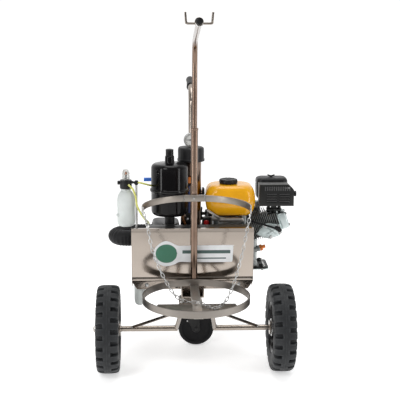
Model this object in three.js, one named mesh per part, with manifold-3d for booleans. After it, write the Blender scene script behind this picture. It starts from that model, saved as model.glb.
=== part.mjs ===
// A walk-behind line striping machine: two road wheels and a swivel caster carry a sheet steel deck with
// a petrol engine, a belt-driven paint pump, its pulsation canister and filter, and a hoop for a paint pail.
// Millimetres, +Z up, +Y towards the engine end, +X to the cylinder head. While it is being built the
// ground is z = 0 and the wheel axle is y = 0; the last lines move the origin under the middle of the box.
import * as THREE from "three";
import { mergeVertices } from "three/addons/utils/BufferGeometryUtils.js";
import Module from "manifold-3d";

const wasm = await Module();
wasm.setup();

// ---- driving dimensions ----
const WHEEL_R = 140;
const WHEEL_W = 72;
const TRACK = 550;
const AXLE_R = 9;
const AXLE_HALF = 323;

const RING_R = 165;
const RING_BAR = 4;
const RING_Y = -98.5;
const LOWER_RING_Z = 261;
const UPPER_RING_Z = 540;

const MAST_X = -1;
const MAST_Y = 78;
const MAST_R = 11;
const MAST_BORE_R = 9;
const MAST_TOP = 772;
const BOOM_R = 8.4;
const BOOM_END = new THREE.Vector3(-15, -520, 1104);

const DECK_X = [-203, 194];
const DECK_Y = [97, 440];
const DECK_TOP = 269;
const PANEL_Z = [279, 443];
const SHEET = 2;
const GAP = 0.4;

const SPINE_X = -5.5;
const SPINE_HALF = 36.5;
const SPINE_Z = [224, 257];

const CASTER = new THREE.Vector3(-7, 233, 0);
const CASTER_R = 61;
const CASTER_TRAIL = 20;

const CRANK = new THREE.Vector3(126, 255, 372);
const CYLINDER_TILT = THREE.MathUtils.degToRad(19);
const PULLEY_Y = 138;
const ENGINE_PULLEY_R = 36;
const PUMP_PULLEY_R = 52;
const PUMP = new THREE.Vector3(-79, 232, 366);

const CANISTER = new THREE.Vector3(-78, 190, 470);
const CANISTER_R = 61;
const FILTER = new THREE.Vector3(-5, 264, 300);
const FILTER_R = 35;
const BOTTLE = new THREE.Vector3(-220, 130, 447);
const ROD = new THREE.Vector3(-186, 125, 0);
const HANDLE = new THREE.Vector3(3, 425, 0);

// ---- materials ----
function material(color, roughness, metalness) {
  return new THREE.MeshStandardMaterial({ color, roughness, metalness });
}
const stainless = material(0xa89c8f, 0.25, 1);
const zinc = material(0xc9cacb, 0.35, 1);
const castAlloy = material(0x9ea3a4, 0.5, 0.8);
const blackPaint = material(0x121212, 0.3, 0.2);
const blackPlastic = material(0x1a1a1a, 0.5, 0);
const rubber = material(0x1b1c1e, 0.8, 0);
const yellowPaint = material(0xf2a50a, 0.25, 0.1);
const milkyPlastic = material(0xdfe3e0, 0.4, 0);
const bluePlastic = material(0x1c5fd0, 0.4, 0);
const orangePlastic = material(0xf06a10, 0.4, 0);
const redPlastic = material(0xb01818, 0.4, 0);
const tubeYellow = material(0xd8d860, 0.35, 0);

// ---- geometry helpers ----
const AXES = { x: new THREE.Vector3(1, 0, 0), y: new THREE.Vector3(0, 1, 0), z: new THREE.Vector3(0, 0, 1) };

function box([x0, x1], [y0, y1], [z0, z1]) {
  const g = new THREE.BoxGeometry(x1 - x0, y1 - y0, z1 - z0);
  return g.translate((x0 + x1) / 2, (y0 + y1) / 2, (z0 + z1) / 2);
}

// Turns a shape made about the Z axis so that its axis points along dir, and moves its origin to at.
function aim(geometry, at, dir) {
  const turn = new THREE.Quaternion().setFromUnitVectors(AXES.z, dir.clone().normalize());
  return geometry.applyQuaternion(turn).translate(at.x, at.y, at.z);
}

// A round bar from one point to another.
function bar(from, to, radius, sides = 20) {
  const along = to.clone().sub(from);
  const g = new THREE.CylinderGeometry(radius, radius, along.length(), sides);
  g.rotateX(Math.PI / 2).translate(0, 0, along.length() / 2);
  return aim(g, from, along);
}

// A turned shape: profile is a list of [radius, height] about the Z axis through at, or about dir.
function turned(profile, at, dir = AXES.z, sides = 32) {
  const g = new THREE.LatheGeometry(profile.map(([r, z]) => new THREE.Vector2(r, z)), sides);
  return aim(g.rotateX(Math.PI / 2), at, dir);
}

function disc(radius, z0, z1, at, dir = AXES.z, sides = 32) {
  return turned([[0, z0], [radius, z0], [radius, z1], [0, z1]], at, dir, sides);
}

function ring(inner, outer, z0, z1, at, dir = AXES.z, sides = 32) {
  return turned([[inner, z0], [outer, z0], [outer, z1], [inner, z1], [inner, z0]], at, dir, sides);
}

// A plate cut from an outline in X and Z, from y0 to y1.
function plateXZ(points, [y0, y1], holes = []) {
  const shape = new THREE.Shape(points.map(([x, z]) => new THREE.Vector2(x, z)));
  shape.holes = holes;
  const g = new THREE.ExtrudeGeometry(shape, { depth: y1 - y0, bevelEnabled: false, curveSegments: 12 });
  return g.rotateX(Math.PI / 2).translate(0, y1, 0);
}

// A folded sheet or bar of one section, drawn in Y and Z, from x0 to x1.
function sectionYZ(points, [x0, x1]) {
  const shape = new THREE.Shape(points.map(([y, z]) => new THREE.Vector2(y, z)));
  const g = new THREE.ExtrudeGeometry(shape, { depth: x1 - x0, bevelEnabled: false });
  return g.applyMatrix4(new THREE.Matrix4().makeBasis(AXES.y, AXES.z, AXES.x)).translate(x0, 0, 0);
}

// A rod or hose of round section through the points, with an equal number of steps between each two.
function hose(points, radius, perSpan, sides = 12) {
  const path = new THREE.CatmullRomCurve3(points.map((p) => new THREE.Vector3(...p)), false, "centripetal");
  path.getUtoTmapping = (u) => u;
  const steps = (points.length - 1) * perSpan;
  const shape = new THREE.Shape().absarc(0, 0, radius, 0, Math.PI * 2);
  const options = { extrudePath: path, steps, curveSegments: sides / 2, bevelEnabled: false };
  return new THREE.ExtrudeGeometry(shape, options);
}

// A block with rounded edges: its plan is a rounded rectangle and its top and bottom edges are bevelled.
function softBlock([x0, x1], [y0, y1], [z0, z1], corner, edge, fine = 1) {
  const [w, d, h] = [x1 - x0 - 2 * edge, y1 - y0 - 2 * edge, z1 - z0 - 2 * edge];
  const r = corner - edge;
  const s = new THREE.Shape();
  s.absarc(w / 2 - r, d / 2 - r, r, 0, Math.PI / 2);
  s.absarc(r - w / 2, d / 2 - r, r, Math.PI / 2, Math.PI);
  s.absarc(r - w / 2, r - d / 2, r, Math.PI, 1.5 * Math.PI);
  s.absarc(w / 2 - r, r - d / 2, r, 1.5 * Math.PI, 2 * Math.PI);
  s.closePath();
  const bevel = { bevelThickness: edge, bevelSize: edge, bevelSegments: 1 + fine, curveSegments: 1 + fine };
  const g = new THREE.ExtrudeGeometry(s, { depth: h, steps: fine, ...bevel });
  return g.translate((x0 + x1) / 2, (y0 + y1) / 2, z0 + edge);
}

// Narrows a geometry in X and Y towards its bottom, below z = from, to the share given at z = to.
function taper(geometry, centre, from, to, share) {
  const p = geometry.getAttribute("position");
  for (let i = 0; i < p.count; i++) {
    const t = THREE.MathUtils.clamp((from - p.getZ(i)) / (from - to), 0, 1);
    const k = 1 - (1 - share) * t;
    p.setX(i, centre.x + (p.getX(i) - centre.x) * k);
    p.setY(i, centre.y + (p.getY(i) - centre.y) * k);
  }
  return geometry;
}

// ---- solids ----
function solid(geometry) {
  const g = geometry.clone();
  g.deleteAttribute("normal");
  g.deleteAttribute("uv");
  const merged = mergeVertices(g, 1e-3);
  const mesh = { numProp: 3, vertProperties: merged.attributes.position.array };
  return new wasm.Manifold(new wasm.Mesh({ ...mesh, triVerts: new Uint32Array(merged.index.array) }));
}

function shell(manifold) {
  const { vertProperties, triVerts } = manifold.getMesh();
  const g = new THREE.BufferGeometry();
  g.setAttribute("position", new THREE.BufferAttribute(vertProperties, 3));
  g.setIndex(new THREE.BufferAttribute(triVerts, 1));
  return g;
}

function joined(...geometries) {
  return shell(geometries.map(solid).reduce((a, b) => a.add(b)));
}

function cut(geometry, ...tools) {
  return shell(tools.map(solid).reduce((a, b) => a.subtract(b), solid(geometry)));
}

const machine = new THREE.Group();

function add(name, geometry, look) {
  const mesh = new THREE.Mesh(geometry, look);
  mesh.name = name;
  machine.add(mesh);
}

const at = (x, y, z) => new THREE.Vector3(x, y, z);

// ---- road wheels and axles ----
function addWheel(side, sign) {
  const centre = at((sign * TRACK) / 2, 0, WHEEL_R);
  const w = WHEEL_W / 2;
  const bead = WHEEL_R - 58;
  const tyre = [
    [bead, -w + 6], [WHEEL_R - 40, -w + 1], [WHEEL_R - 20, -w], [WHEEL_R - 6, -w + 5], [WHEEL_R, -w + 14],
    [WHEEL_R, w - 14], [WHEEL_R - 6, w - 5], [WHEEL_R - 20, w], [WHEEL_R - 40, w - 1], [bead, w - 6],
    [bead, -w + 6],
  ];
  add("tyre_" + side, turned(tyre, centre, AXES.x, 36), rubber);
  const felloe = bead - GAP;
  const rim = [
    [16, -30], [23, -30], [23, -5], [felloe - 8, -5], [felloe - 8, -w + 8], [felloe, -w + 8],
    [felloe, w - 8], [felloe - 8, w - 8], [felloe - 8, 5], [23, 5], [23, 30], [16, 30], [16, -30],
  ];
  add("rim_" + side, turned(rim, centre, AXES.x, 24), blackPaint);
  add("bearing_" + side, ring(AXLE_R + GAP, 15.6, -29, 29, centre, AXES.x, 24), zinc);
  const outer = at(sign * (AXLE_HALF - 16), 0, WHEEL_R);
  const collar = ring(AXLE_R + GAP, 20, 0, 4, outer, at(sign, 0, 0), 24);
  const nut = ring(11.2, 16, 3, 12, outer, at(sign, 0, 0), 6);
  add("axle_nut_" + side, joined(collar, nut), zinc);
}

// Each half of the axle carries a hanger and a brace up to the underside of the hoop's front plate.
function addAxle(side, sign) {
  const inner = at(1.5 + sign * 57, 0, WHEEL_R);
  const stub = bar(inner, at(sign * AXLE_HALF, 0, WHEEL_R), AXLE_R, 24);
  const hanger = bar(at(inner.x + sign * 4, 0, WHEEL_R), at(MAST_X + sign * 44, -142, 252.5), 7, 16);
  const brace = bar(at(sign * 198, 0, WHEEL_R + 5), at(MAST_X + sign * 70, -190, 253.5), 5, 16);
  const washer = ring(AXLE_R - 1, 23, 0, 4, at(sign * (TRACK / 2 - 37), 0, WHEEL_R), at(sign, 0, 0), 24);
  add("axle_" + side, joined(stub, hanger, brace, washer), stainless);
}

for (const [side, sign] of [["left", -1], ["right", 1]]) {
  addWheel(side, sign);
  addAxle(side, sign);
}

// ---- swivel caster ----
const casterAxle = at(CASTER.x + CASTER_TRAIL, CASTER.y, CASTER_R);
const CASTER_HALF_W = 15;
const LEG_Y = CASTER_HALF_W + 2;

add("caster_mount", joined(
  box([CASTER.x - 24, CASTER.x + 24], [CASTER.y - 24, CASTER.y + 24], [160, SPINE_Z[0] - GAP]),
  box([CASTER.x - 40, CASTER.x + 40], [CASTER.y - 45, CASTER.y + 45], [155, 161]),
), stainless);

function casterLeg(y0) {
  const leg = [
    [CASTER.x - 26, 142], [CASTER.x - 26, 132], [casterAxle.x - 12, CASTER_R - 4],
    [casterAxle.x - 6, CASTER_R - 12],
    [casterAxle.x + 6, CASTER_R - 12], [casterAxle.x + 12, CASTER_R - 4], [CASTER.x + 30, 132],
    [CASTER.x + 30, 142],
  ];
  return plateXZ(leg, [y0, y0 + 3]);
}
const pinEnd = LEG_Y + 9;
add("caster_fork", joined(
  casterLeg(CASTER.y - LEG_Y - 3),
  casterLeg(CASTER.y + LEG_Y),
  box([CASTER.x - 26, CASTER.x + 30], [CASTER.y - LEG_Y - 3, CASTER.y + LEG_Y + 3], [138, 142]),
  disc(27, 141, 155 - GAP, at(CASTER.x, CASTER.y, 0)),
  bar(at(casterAxle.x, CASTER.y - pinEnd, CASTER_R), at(casterAxle.x, CASTER.y + pinEnd, CASTER_R), 5, 16),
), blackPaint);
add("caster_wheel", turned([
  [5 + GAP, -CASTER_HALF_W + 2], [14, -CASTER_HALF_W + 1], [CASTER_R - 14, -CASTER_HALF_W + 3],
  [CASTER_R - 5, -CASTER_HALF_W], [CASTER_R, -CASTER_HALF_W + 7], [CASTER_R, CASTER_HALF_W - 7],
  [CASTER_R - 5, CASTER_HALF_W], [CASTER_R - 14, CASTER_HALF_W - 3], [14, CASTER_HALF_W - 1],
  [5 + GAP, CASTER_HALF_W - 2], [5 + GAP, -CASTER_HALF_W + 2],
], casterAxle, AXES.y, 28), rubber);

// ---- deck, front panel and spine ----
const WALL = 4;
const spineLeft = SPINE_X - SPINE_HALF;
const spineRight = SPINE_X + SPINE_HALF;
const SPINE_Y = [52, 330];
add("spine_channel", joined(
  box([spineLeft, spineRight], SPINE_Y, [SPINE_Z[0], SPINE_Z[0] + WALL]),
  box([spineLeft, spineLeft + WALL], SPINE_Y, SPINE_Z),
  box([spineRight - WALL, spineRight], SPINE_Y, SPINE_Z),
), stainless);

const LIP_BOTTOM = 240;
const LIP_CUT = 17;
const lip = [
  [DECK_X[0], DECK_TOP], [DECK_X[0], DECK_TOP - 2], [DECK_X[0] + LIP_CUT, LIP_BOTTOM],
  [DECK_X[1] - LIP_CUT, LIP_BOTTOM], [DECK_X[1], DECK_TOP - 2], [DECK_X[1], DECK_TOP],
];
const lipBolt = (x) => disc(5, 0, 3, at(x, DECK_Y[0] + 0.5, 255), at(0, -1, 0), 12);
const slotX = [spineLeft - 0.5, spineRight + 0.5];
const spineSlot = box(slotX, [DECK_Y[0] - 5, DECK_Y[0] + 5], [230, SPINE_Z[1] + 1]);
add("deck", cut(joined(
  box(DECK_X, DECK_Y, [DECK_TOP - 3, DECK_TOP]),
  plateXZ(lip, [DECK_Y[0], DECK_Y[0] + SHEET]),
  plateXZ(lip, [DECK_Y[1] - SHEET, DECK_Y[1]]),
  box([DECK_X[0], DECK_X[0] + SHEET], [DECK_Y[0] + 20, DECK_Y[1] - 20], [LIP_BOTTOM + 5, DECK_TOP - 1]),
  box([DECK_X[1] - SHEET, DECK_X[1]], [DECK_Y[0] + 20, DECK_Y[1] - 20], [LIP_BOTTOM + 5, DECK_TOP - 1]),
  box([spineLeft - 6, spineLeft + WALL], [100, SPINE_Y[1]], [SPINE_Z[1] + GAP, DECK_TOP - 1]),
  box([spineRight - WALL, spineRight + 6], [100, SPINE_Y[1]], [SPINE_Z[1] + GAP, DECK_TOP - 1]),
  lipBolt(-154),
  lipBolt(147),
), spineSlot), stainless);

const HEM = 13;
const panelFront = DECK_Y[0];
const panelProfile = [
  [panelFront + 3, DECK_TOP + GAP], [panelFront + 10, DECK_TOP + GAP], [panelFront + 10, PANEL_Z[0] + 3],
  [panelFront + SHEET, PANEL_Z[0] + 3], [panelFront + SHEET, PANEL_Z[1] - SHEET],
  [panelFront + HEM - SHEET, PANEL_Z[1] - SHEET], [panelFront + HEM - SHEET, PANEL_Z[1] - 12],
  [panelFront + HEM, PANEL_Z[1] - 12], [panelFront + HEM, PANEL_Z[1]], [panelFront, PANEL_Z[1]],
  [panelFront, PANEL_Z[0]], [panelFront + 3, PANEL_Z[0]],
];
add("front_panel", sectionYZ(panelProfile, DECK_X), stainless);

// ---- pail hoops and their centre bar ----
const HOOP_SIDES = 56;
const lowerCentre = at(MAST_X, RING_Y, LOWER_RING_Z);
add("lower_ring", ring(RING_R - RING_BAR, RING_R, 0, 22, lowerCentre, AXES.z, HOOP_SIDES), stainless);

const ringInnerRear = RING_Y + RING_R - RING_BAR;
const ringInnerFront = RING_Y - RING_R + RING_BAR;
const plateR = RING_R - RING_BAR - 0.6;
const PLATE_REACH = Math.asin(128 / plateR);
const gusset = new THREE.Shape();
gusset.absarc(MAST_X, RING_Y, plateR, -PLATE_REACH - Math.PI / 2, PLATE_REACH - Math.PI / 2, false);
gusset.lineTo(MAST_X + 118, -130);
gusset.lineTo(MAST_X - 118, -130);
gusset.closePath();
const gussetPlate = new THREE.ExtrudeGeometry(gusset, { depth: 4, bevelEnabled: false });
const barY = [ringInnerFront + 2, ringInnerRear - 2];
add("centre_bar", joined(
  box([MAST_X - 14, MAST_X + 14], barY, [LOWER_RING_Z - 3, LOWER_RING_Z + 3]),
  gussetPlate.translate(0, 0, LOWER_RING_Z - 2),
), stainless);

const OPEN = THREE.MathUtils.degToRad(12);
const hoop = new THREE.Shape();
hoop.absarc(MAST_X, RING_Y, RING_R, -OPEN, Math.PI + OPEN, false);
hoop.absarc(MAST_X, RING_Y, RING_R - RING_BAR, Math.PI + OPEN, -OPEN, true);
hoop.closePath();
const halfHoop = new THREE.ExtrudeGeometry(hoop, { depth: 20, bevelEnabled: false, curveSegments: 18 });
add("upper_ring", joined(
  halfHoop.translate(0, 0, UPPER_RING_Z),
  box([MAST_X - 32, MAST_X + 32], [ringInnerRear - 6, ringInnerRear + 1], [UPPER_RING_Z, UPPER_RING_Z + 21]),
), stainless);

const hookX = (RING_R - RING_BAR / 2) * Math.cos(OPEN);
const hookY = RING_Y - (RING_R - RING_BAR / 2) * Math.sin(OPEN) - 8;
add("chain", hose([
  [MAST_X - hookX, hookY, UPPER_RING_Z + 8], [-148, hookY - 4, 510], [-133, hookY - 7, 432],
  [-104, hookY - 9, 360], [-72, hookY - 9, 303], [-46, hookY - 5, 280], [-20, -142, 272], [8, -146, 272],
  [31, -172, 268], [54, -190, 268], [80, -160, 275], [97, -151, 299], [113, -150, 343],
  [132, -149, 418], [142, hookY - 5, 465], [MAST_X + hookX, hookY, UPPER_RING_Z + 10],
], 3.6, 2, 8), zinc);

// ---- mast and swivelling hose boom ----
add("mast", joined(
  ring(MAST_BORE_R, MAST_R, SPINE_Z[0] + WALL + GAP, MAST_TOP, at(MAST_X, MAST_Y, 0), AXES.z, 28),
  ring(MAST_BORE_R, MAST_R + 1.5, MAST_TOP - 6, MAST_TOP, at(MAST_X, MAST_Y, 0), AXES.z, 28),
), stainless);

const BEND = 90;
const BOOM_KNEE = new THREE.Vector3(MAST_X, MAST_Y, 1040);
const reach = BOOM_END.clone().sub(BOOM_KNEE).normalize();
const kneeBelow = at(MAST_X, MAST_Y, BOOM_KNEE.z - BEND);
const kneeBeyond = BOOM_KNEE.clone().addScaledVector(reach, BEND);
const knee = new THREE.QuadraticBezierCurve3(kneeBelow, BOOM_KNEE, kneeBeyond).getPoints(10);
const boomPoints = [
  at(MAST_X, MAST_Y, 690), at(MAST_X, MAST_Y, kneeBelow.z - 8), ...knee,
  kneeBeyond.clone().addScaledVector(reach, 8), BOOM_END,
];
add("boom", hose(boomPoints.map((p) => p.toArray()), BOOM_R, 1, 16), stainless);
const alongBoom = (distance) => BOOM_END.clone().addScaledVector(reach, distance);
add("boom_plug", joined(
  bar(alongBoom(GAP), alongBoom(6), 9, 24),
  bar(alongBoom(5), alongBoom(9), 7.5, 24),
), blackPlastic);

const FORK_HALF = 32.5;
const FORK_Y = [BOOM_END.y + 4, BOOM_END.y + 24];
const forkCentre = alongBoom(-14);
const forkBar = [
  [forkCentre.x - FORK_HALF - 4, forkCentre.z + 24], [forkCentre.x - FORK_HALF - 2, forkCentre.z - 3],
  [forkCentre.x - FORK_HALF + 4, forkCentre.z - 6.5], [forkCentre.x + FORK_HALF - 4, forkCentre.z - 6.5],
  [forkCentre.x + FORK_HALF + 2, forkCentre.z - 3], [forkCentre.x + FORK_HALF + 4, forkCentre.z + 24],
  [forkCentre.x + FORK_HALF - 1, forkCentre.z + 24], [forkCentre.x + FORK_HALF - 3, forkCentre.z - 1],
  [forkCentre.x - FORK_HALF + 3, forkCentre.z - 1], [forkCentre.x - FORK_HALF + 1, forkCentre.z + 24],
];
const saddle = bar(alongBoom(-20), alongBoom(-8), 11, 24);
const boomTunnel = bar(alongBoom(-60), alongBoom(20), BOOM_R + 0.5, 24);
add("hose_fork", cut(joined(plateXZ(forkBar, FORK_Y), saddle), boomTunnel), stainless);

// ---- push handle ----
const handlePath = [
  [HANDLE.x, HANDLE.y, DECK_TOP + 4], [HANDLE.x, HANDLE.y, 560], [HANDLE.x, HANDLE.y + 3, 780],
  [HANDLE.x, HANDLE.y + 20, 838], [HANDLE.x, HANDLE.y + 60, 868], [HANDLE.x, HANDLE.y + 175, 884],
];
add("handle_stem", joined(
  hose(handlePath, 11, 2, 14),
  box([HANDLE.x - 30, HANDLE.x + 30], [HANDLE.y - 14, HANDLE.y + 14], [DECK_TOP + GAP, DECK_TOP + 7]),
), stainless);
const gripFrom = at(HANDLE.x, HANDLE.y + 72, 869.7);
const gripTo = at(HANDLE.x, HANDLE.y + 186, 885.6);
const gripOuter = joined(
  bar(gripFrom, gripTo, 15.5, 18),
  bar(gripFrom.clone().lerp(gripTo, -0.03), gripFrom.clone().lerp(gripTo, 0.02), 18, 24),
  bar(gripFrom.clone().lerp(gripTo, 0.98), gripFrom.clone().lerp(gripTo, 1.02), 17, 24),
);
add("handle_grip", shell(solid(gripOuter).subtract(solid(hose(handlePath, 11.6, 2, 14)))), blackPlastic);

// ---- engine ----
const BASE_Y = [220, 325];
const along = at(Math.cos(CYLINDER_TILT), 0, Math.sin(CYLINDER_TILT));

// A block about the cylinder's centreline, from one distance along it to another.
function onCylinder([a0, a1], [y0, y1], halfHeight, lift = 0) {
  const g = new THREE.BoxGeometry(a1 - a0, y1 - y0, 2 * halfHeight);
  g.translate((a0 + a1) / 2, (y0 + y1) / 2, lift);
  return g.rotateY(-CYLINDER_TILT).translate(CRANK.x, 0, CRANK.z);
}
const fins = (from, count, half) => Array.from({ length: count }, (_, i) =>
  onCylinder([from + i * 9, from + i * 9 + 2.5], [215, 300], half - 9, 9));

const pushrodSide = [[190, 362], [240, 368], [262, 374], [262, 385], [190, 385]];
const TANK_FOOT = 463 - GAP;
const neckFrom = at(190, 236, 327);
const neckDir = at(0.94, 0, 0.34);
add("crankcase", joined(
  softBlock([55, 260], BASE_Y, [DECK_TOP + GAP, DECK_TOP + 9], 14, 2),
  softBlock([66, 196], [190, 325], [DECK_TOP + 7, 432], 24, 6),
  disc(44, 0, 8, at(CRANK.x, 192, CRANK.z), at(0, -1, 0)),
  onCylinder([40, 150], [228, 290], 40),
  ...fins(78, 7, 50),
  plateXZ(pushrodSide, [228, 292]),
  disc(9, 0, 42, neckFrom, neckDir, 20),
  box([70, 84], [205, 300], [425, TANK_FOOT]),
  box([165, 179], [205, 300], [425, TANK_FOOT]),
  box([34, 70], [216, 232], [424, 446]),
), castAlloy);
add("oil_cap", joined(
  disc(11, 0, 9, neckFrom.clone().addScaledVector(neckDir, 42.5), neckDir, 20),
  disc(6, 8, 20, neckFrom.clone().addScaledVector(neckDir, 42.5), neckDir, 8),
), orangePlastic);
add("cylinder_head", joined(
  onCylinder([150.5, 176], [222, 298], 34),
  ...fins(154, 3, 42),
), castAlloy);
const COVER = softBlock([0, 32], [226, 294], [-26, 32], 9, 4);
add("valve_cover", joined(
  COVER.translate(177, 0, 0).rotateY(-CYLINDER_TILT).translate(CRANK.x, 0, CRANK.z),
), zinc);

add("muffler", joined(
  softBlock([232, 330], [234, 282], [496, 546], 14, 5),
  ring(7, 9, -4, 28, at(326, 262, 525), AXES.x, 20),
  box([268, 286], [240, 262], [471, 500]),
  box([256, 298], [236, 264], [471, 476]),
), blackPaint);

const GUARD_X = [225, 341];
const GUARD_Z = [490, 563];
const GUARD_CUT = 18;
function guardOutline(inset) {
  const [x0, x1] = [GUARD_X[0] + inset, GUARD_X[1] - inset];
  const [z0, z1] = [GUARD_Z[0] + inset, GUARD_Z[1] - inset];
  return [[x0, z0], [x1, z0], [x1, z1 - GUARD_CUT], [x1 - GUARD_CUT, z1], [x0, z1]];
}
const louvres = [];
for (const x of [249, 292]) {
  for (const z of [503, 511, 519, 527]) louvres.push(box([x, x + 34], [218, 226], [z, z + 3.5]));
}
for (let i = 0; i < 11; i++) louvres.push(box([246 + i * 7.5, 249.5 + i * 7.5], [218, 226], [545, 553]));
add("muffler_guard", cut(
  plateXZ(guardOutline(0), [221, 272]),
  plateXZ(guardOutline(3), [224, 280]),
  disc(12, 0, 40, at(320, 262, 525), AXES.x, 20),
  box([262, 292], [230, 275], [485, 495]),
  ...louvres,
), blackPaint);

add("air_cleaner", joined(
  softBlock([223, 330], [290, 362], [503, 572], 16, 7),
  box([232, 262], [296, 340], [488, 506]),
), blackPlastic);
add("wing_nut", joined(
  disc(5, 0, 6, at(275, 326, 572 + GAP), AXES.z, 16),
  box([262, 288], [324.5, 327.5], [574, 581]),
), blackPlastic);
add("carburettor", joined(
  softBlock([206, 238], [304, 340], [438, 487], 8, 3),
  disc(14, 0, 14, at(222, 322, 425), AXES.z, 20),
), castAlloy);
add("throttle_lever", joined(
  disc(7, 0, 4, at(184, 352, 484 + GAP), AXES.z, 16),
  box([180, 188], [352, 392], [485, 488]),
  disc(5, -2, 12, at(184, 392, 485), AXES.z, 12),
), blackPlastic);

const TANK = { x: [42.5, 210.5], y: [184, 324], z: [463, 563] };
const tankCentre = at(126.5, 254, 0);
const CAP = at(121, 250, 560);
const tank = taper(softBlock(TANK.x, TANK.y, TANK.z, 38, 20, 2), tankCentre, 512, TANK.z[0], 0.84);
add("fuel_tank", joined(tank, ring(18, 24, -6, 8, CAP, AXES.z, 24)), yellowPaint);
add("fuel_cap", joined(
  disc(31, 8 + GAP, 19, CAP, AXES.z, 36),
  ring(24 + GAP, 30, 4 + GAP, 9, CAP, AXES.z, 36),
), blackPlastic);

const FAN_R = 92;
const RECOIL_R = 70;
const ROPE = at(30, 396, 428);
add("fan_housing", cut(
  joined(
    disc(FAN_R, 326, 388, at(CRANK.x, 0, CRANK.z), AXES.y, 40),
    turned([[0, 386], [RECOIL_R + 12, 386], [RECOIL_R, 420], [RECOIL_R - 14, 430], [0, 432]],
      at(CRANK.x, 0, CRANK.z), AXES.y, 36),
    box([CRANK.x - 70, CRANK.x + 76], [326, 372], [CRANK.z + 40, CRANK.z + 112]),
    box([52, 150], [384, 408], [414, 442]),
  ),
  bar(at(40, ROPE.y, ROPE.z), at(146, ROPE.y, ROPE.z), 3.2, 12),
), blackPaint);
add("recoil_grip", joined(
  bar(at(48, ROPE.y, ROPE.z), at(140, ROPE.y, ROPE.z), 2.4, 12),
  bar(at(40, ROPE.y, ROPE.z), at(50, ROPE.y, ROPE.z), 6, 16),
  bar(at(34, ROPE.y, ROPE.z - 22), at(34, ROPE.y, ROPE.z + 22), 8, 16),
), blackPlastic);
add("engine_switch", joined(
  disc(9, 0, 7, at(46, 216 - GAP, 436), at(0, -1, 0), 20),
  box([43, 49], [202, 212], [428, 444]),
), redPlastic);

// ---- belt drive ----
function pulley(radius, x, z, shaftTo, sides) {
  const centre = at(x, PULLEY_Y, z);
  return joined(
    turned([
      [0, -9], [radius + 5, -9], [radius + 5, -7], [radius, -6],
      [radius, 6], [radius + 5, 7], [radius + 5, 9], [0, 9],
    ], centre, AXES.y, sides),
    bar(at(x, PULLEY_Y, z), at(x, shaftTo, z), 10, 20),
  );
}
add("engine_pulley", pulley(ENGINE_PULLEY_R, CRANK.x, CRANK.z, 183, 28), castAlloy);
add("pump_pulley", pulley(PUMP_PULLEY_R, PUMP.x, PUMP.z, 171, 32), castAlloy);

// The belt's outline is the two arcs and the two tangents between them.
function beltLoop(offset) {
  const [r1, r2] = [ENGINE_PULLEY_R + offset, PUMP_PULLEY_R + offset];
  const [dx, dz] = [CRANK.x - PUMP.x, CRANK.z - PUMP.z];
  const lean = Math.atan2(dz, dx);
  const spread = Math.acos((r2 - r1) / Math.hypot(dx, dz));
  const loop = new THREE.Path();
  loop.absarc(PUMP.x, PUMP.z, r2, lean + spread, lean - spread + 2 * Math.PI, false);
  loop.absarc(CRANK.x, CRANK.z, r1, lean - spread, lean + spread, false);
  loop.closePath();
  return loop;
}
add("drive_belt", plateXZ(
  beltLoop(8).getPoints(20).map((p) => [p.x, p.y]), [PULLEY_Y - 5, PULLEY_Y + 5], [beltLoop(0.8)],
), rubber);

const GUARD_BOX = { x: [-146, 192], y: [113, 160], z: [296, 442] };
const inside = ([low, high]) => [low + 3, high - 3];
add("belt_guard", cut(
  box(GUARD_BOX.x, GUARD_BOX.y, GUARD_BOX.z),
  box(inside(GUARD_BOX.x), [GUARD_BOX.y[0] + 3, GUARD_BOX.y[1] + 10], inside(GUARD_BOX.z)),
), blackPaint);

// ---- pump, canister and filter ----
const canisterFoot = at(CANISTER.x, CANISTER.y, 0);
add("pump_body", joined(
  softBlock([-136, -46], [176, 322], [292, 432], 20, 6),
  box([-142, -48], [186, 310], [DECK_TOP + GAP, 300]),
  disc(34, 0, 6, at(PUMP.x, 178, PUMP.z), at(0, -1, 0)),
  disc(16.5, 425, CANISTER.z - GAP, canisterFoot, AXES.z, 24),
  disc(24, 428, 440, canisterFoot, AXES.z, 6),
), blackPaint);

const CAN_H = 173;
const canOuter = [
  [14, 0], [CANISTER_R - 14, 0], [CANISTER_R - 4, 4], [CANISTER_R, 12],
  [CANISTER_R, 77], [CANISTER_R + 3.5, 79],
  [CANISTER_R + 3.5, 89], [CANISTER_R, 92], [CANISTER_R, CAN_H - 12], [CANISTER_R - 4, CAN_H - 4],
  [CANISTER_R - 14, CAN_H], [15, CAN_H], [15, CAN_H + 22], [13, CAN_H + 24], [13, CAN_H + 46],
];
const canInner = [
  [8, CAN_H + 46], [8, CAN_H - 4], [CANISTER_R - 16, CAN_H - 4], [CANISTER_R - 3.5, CAN_H - 14],
  [CANISTER_R - 3.5, 14], [CANISTER_R - 16, 4], [14, 4], [14, 0],
];
add("canister", turned([...canOuter, ...canInner], CANISTER, AXES.z, 26), blackPaint);

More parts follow.
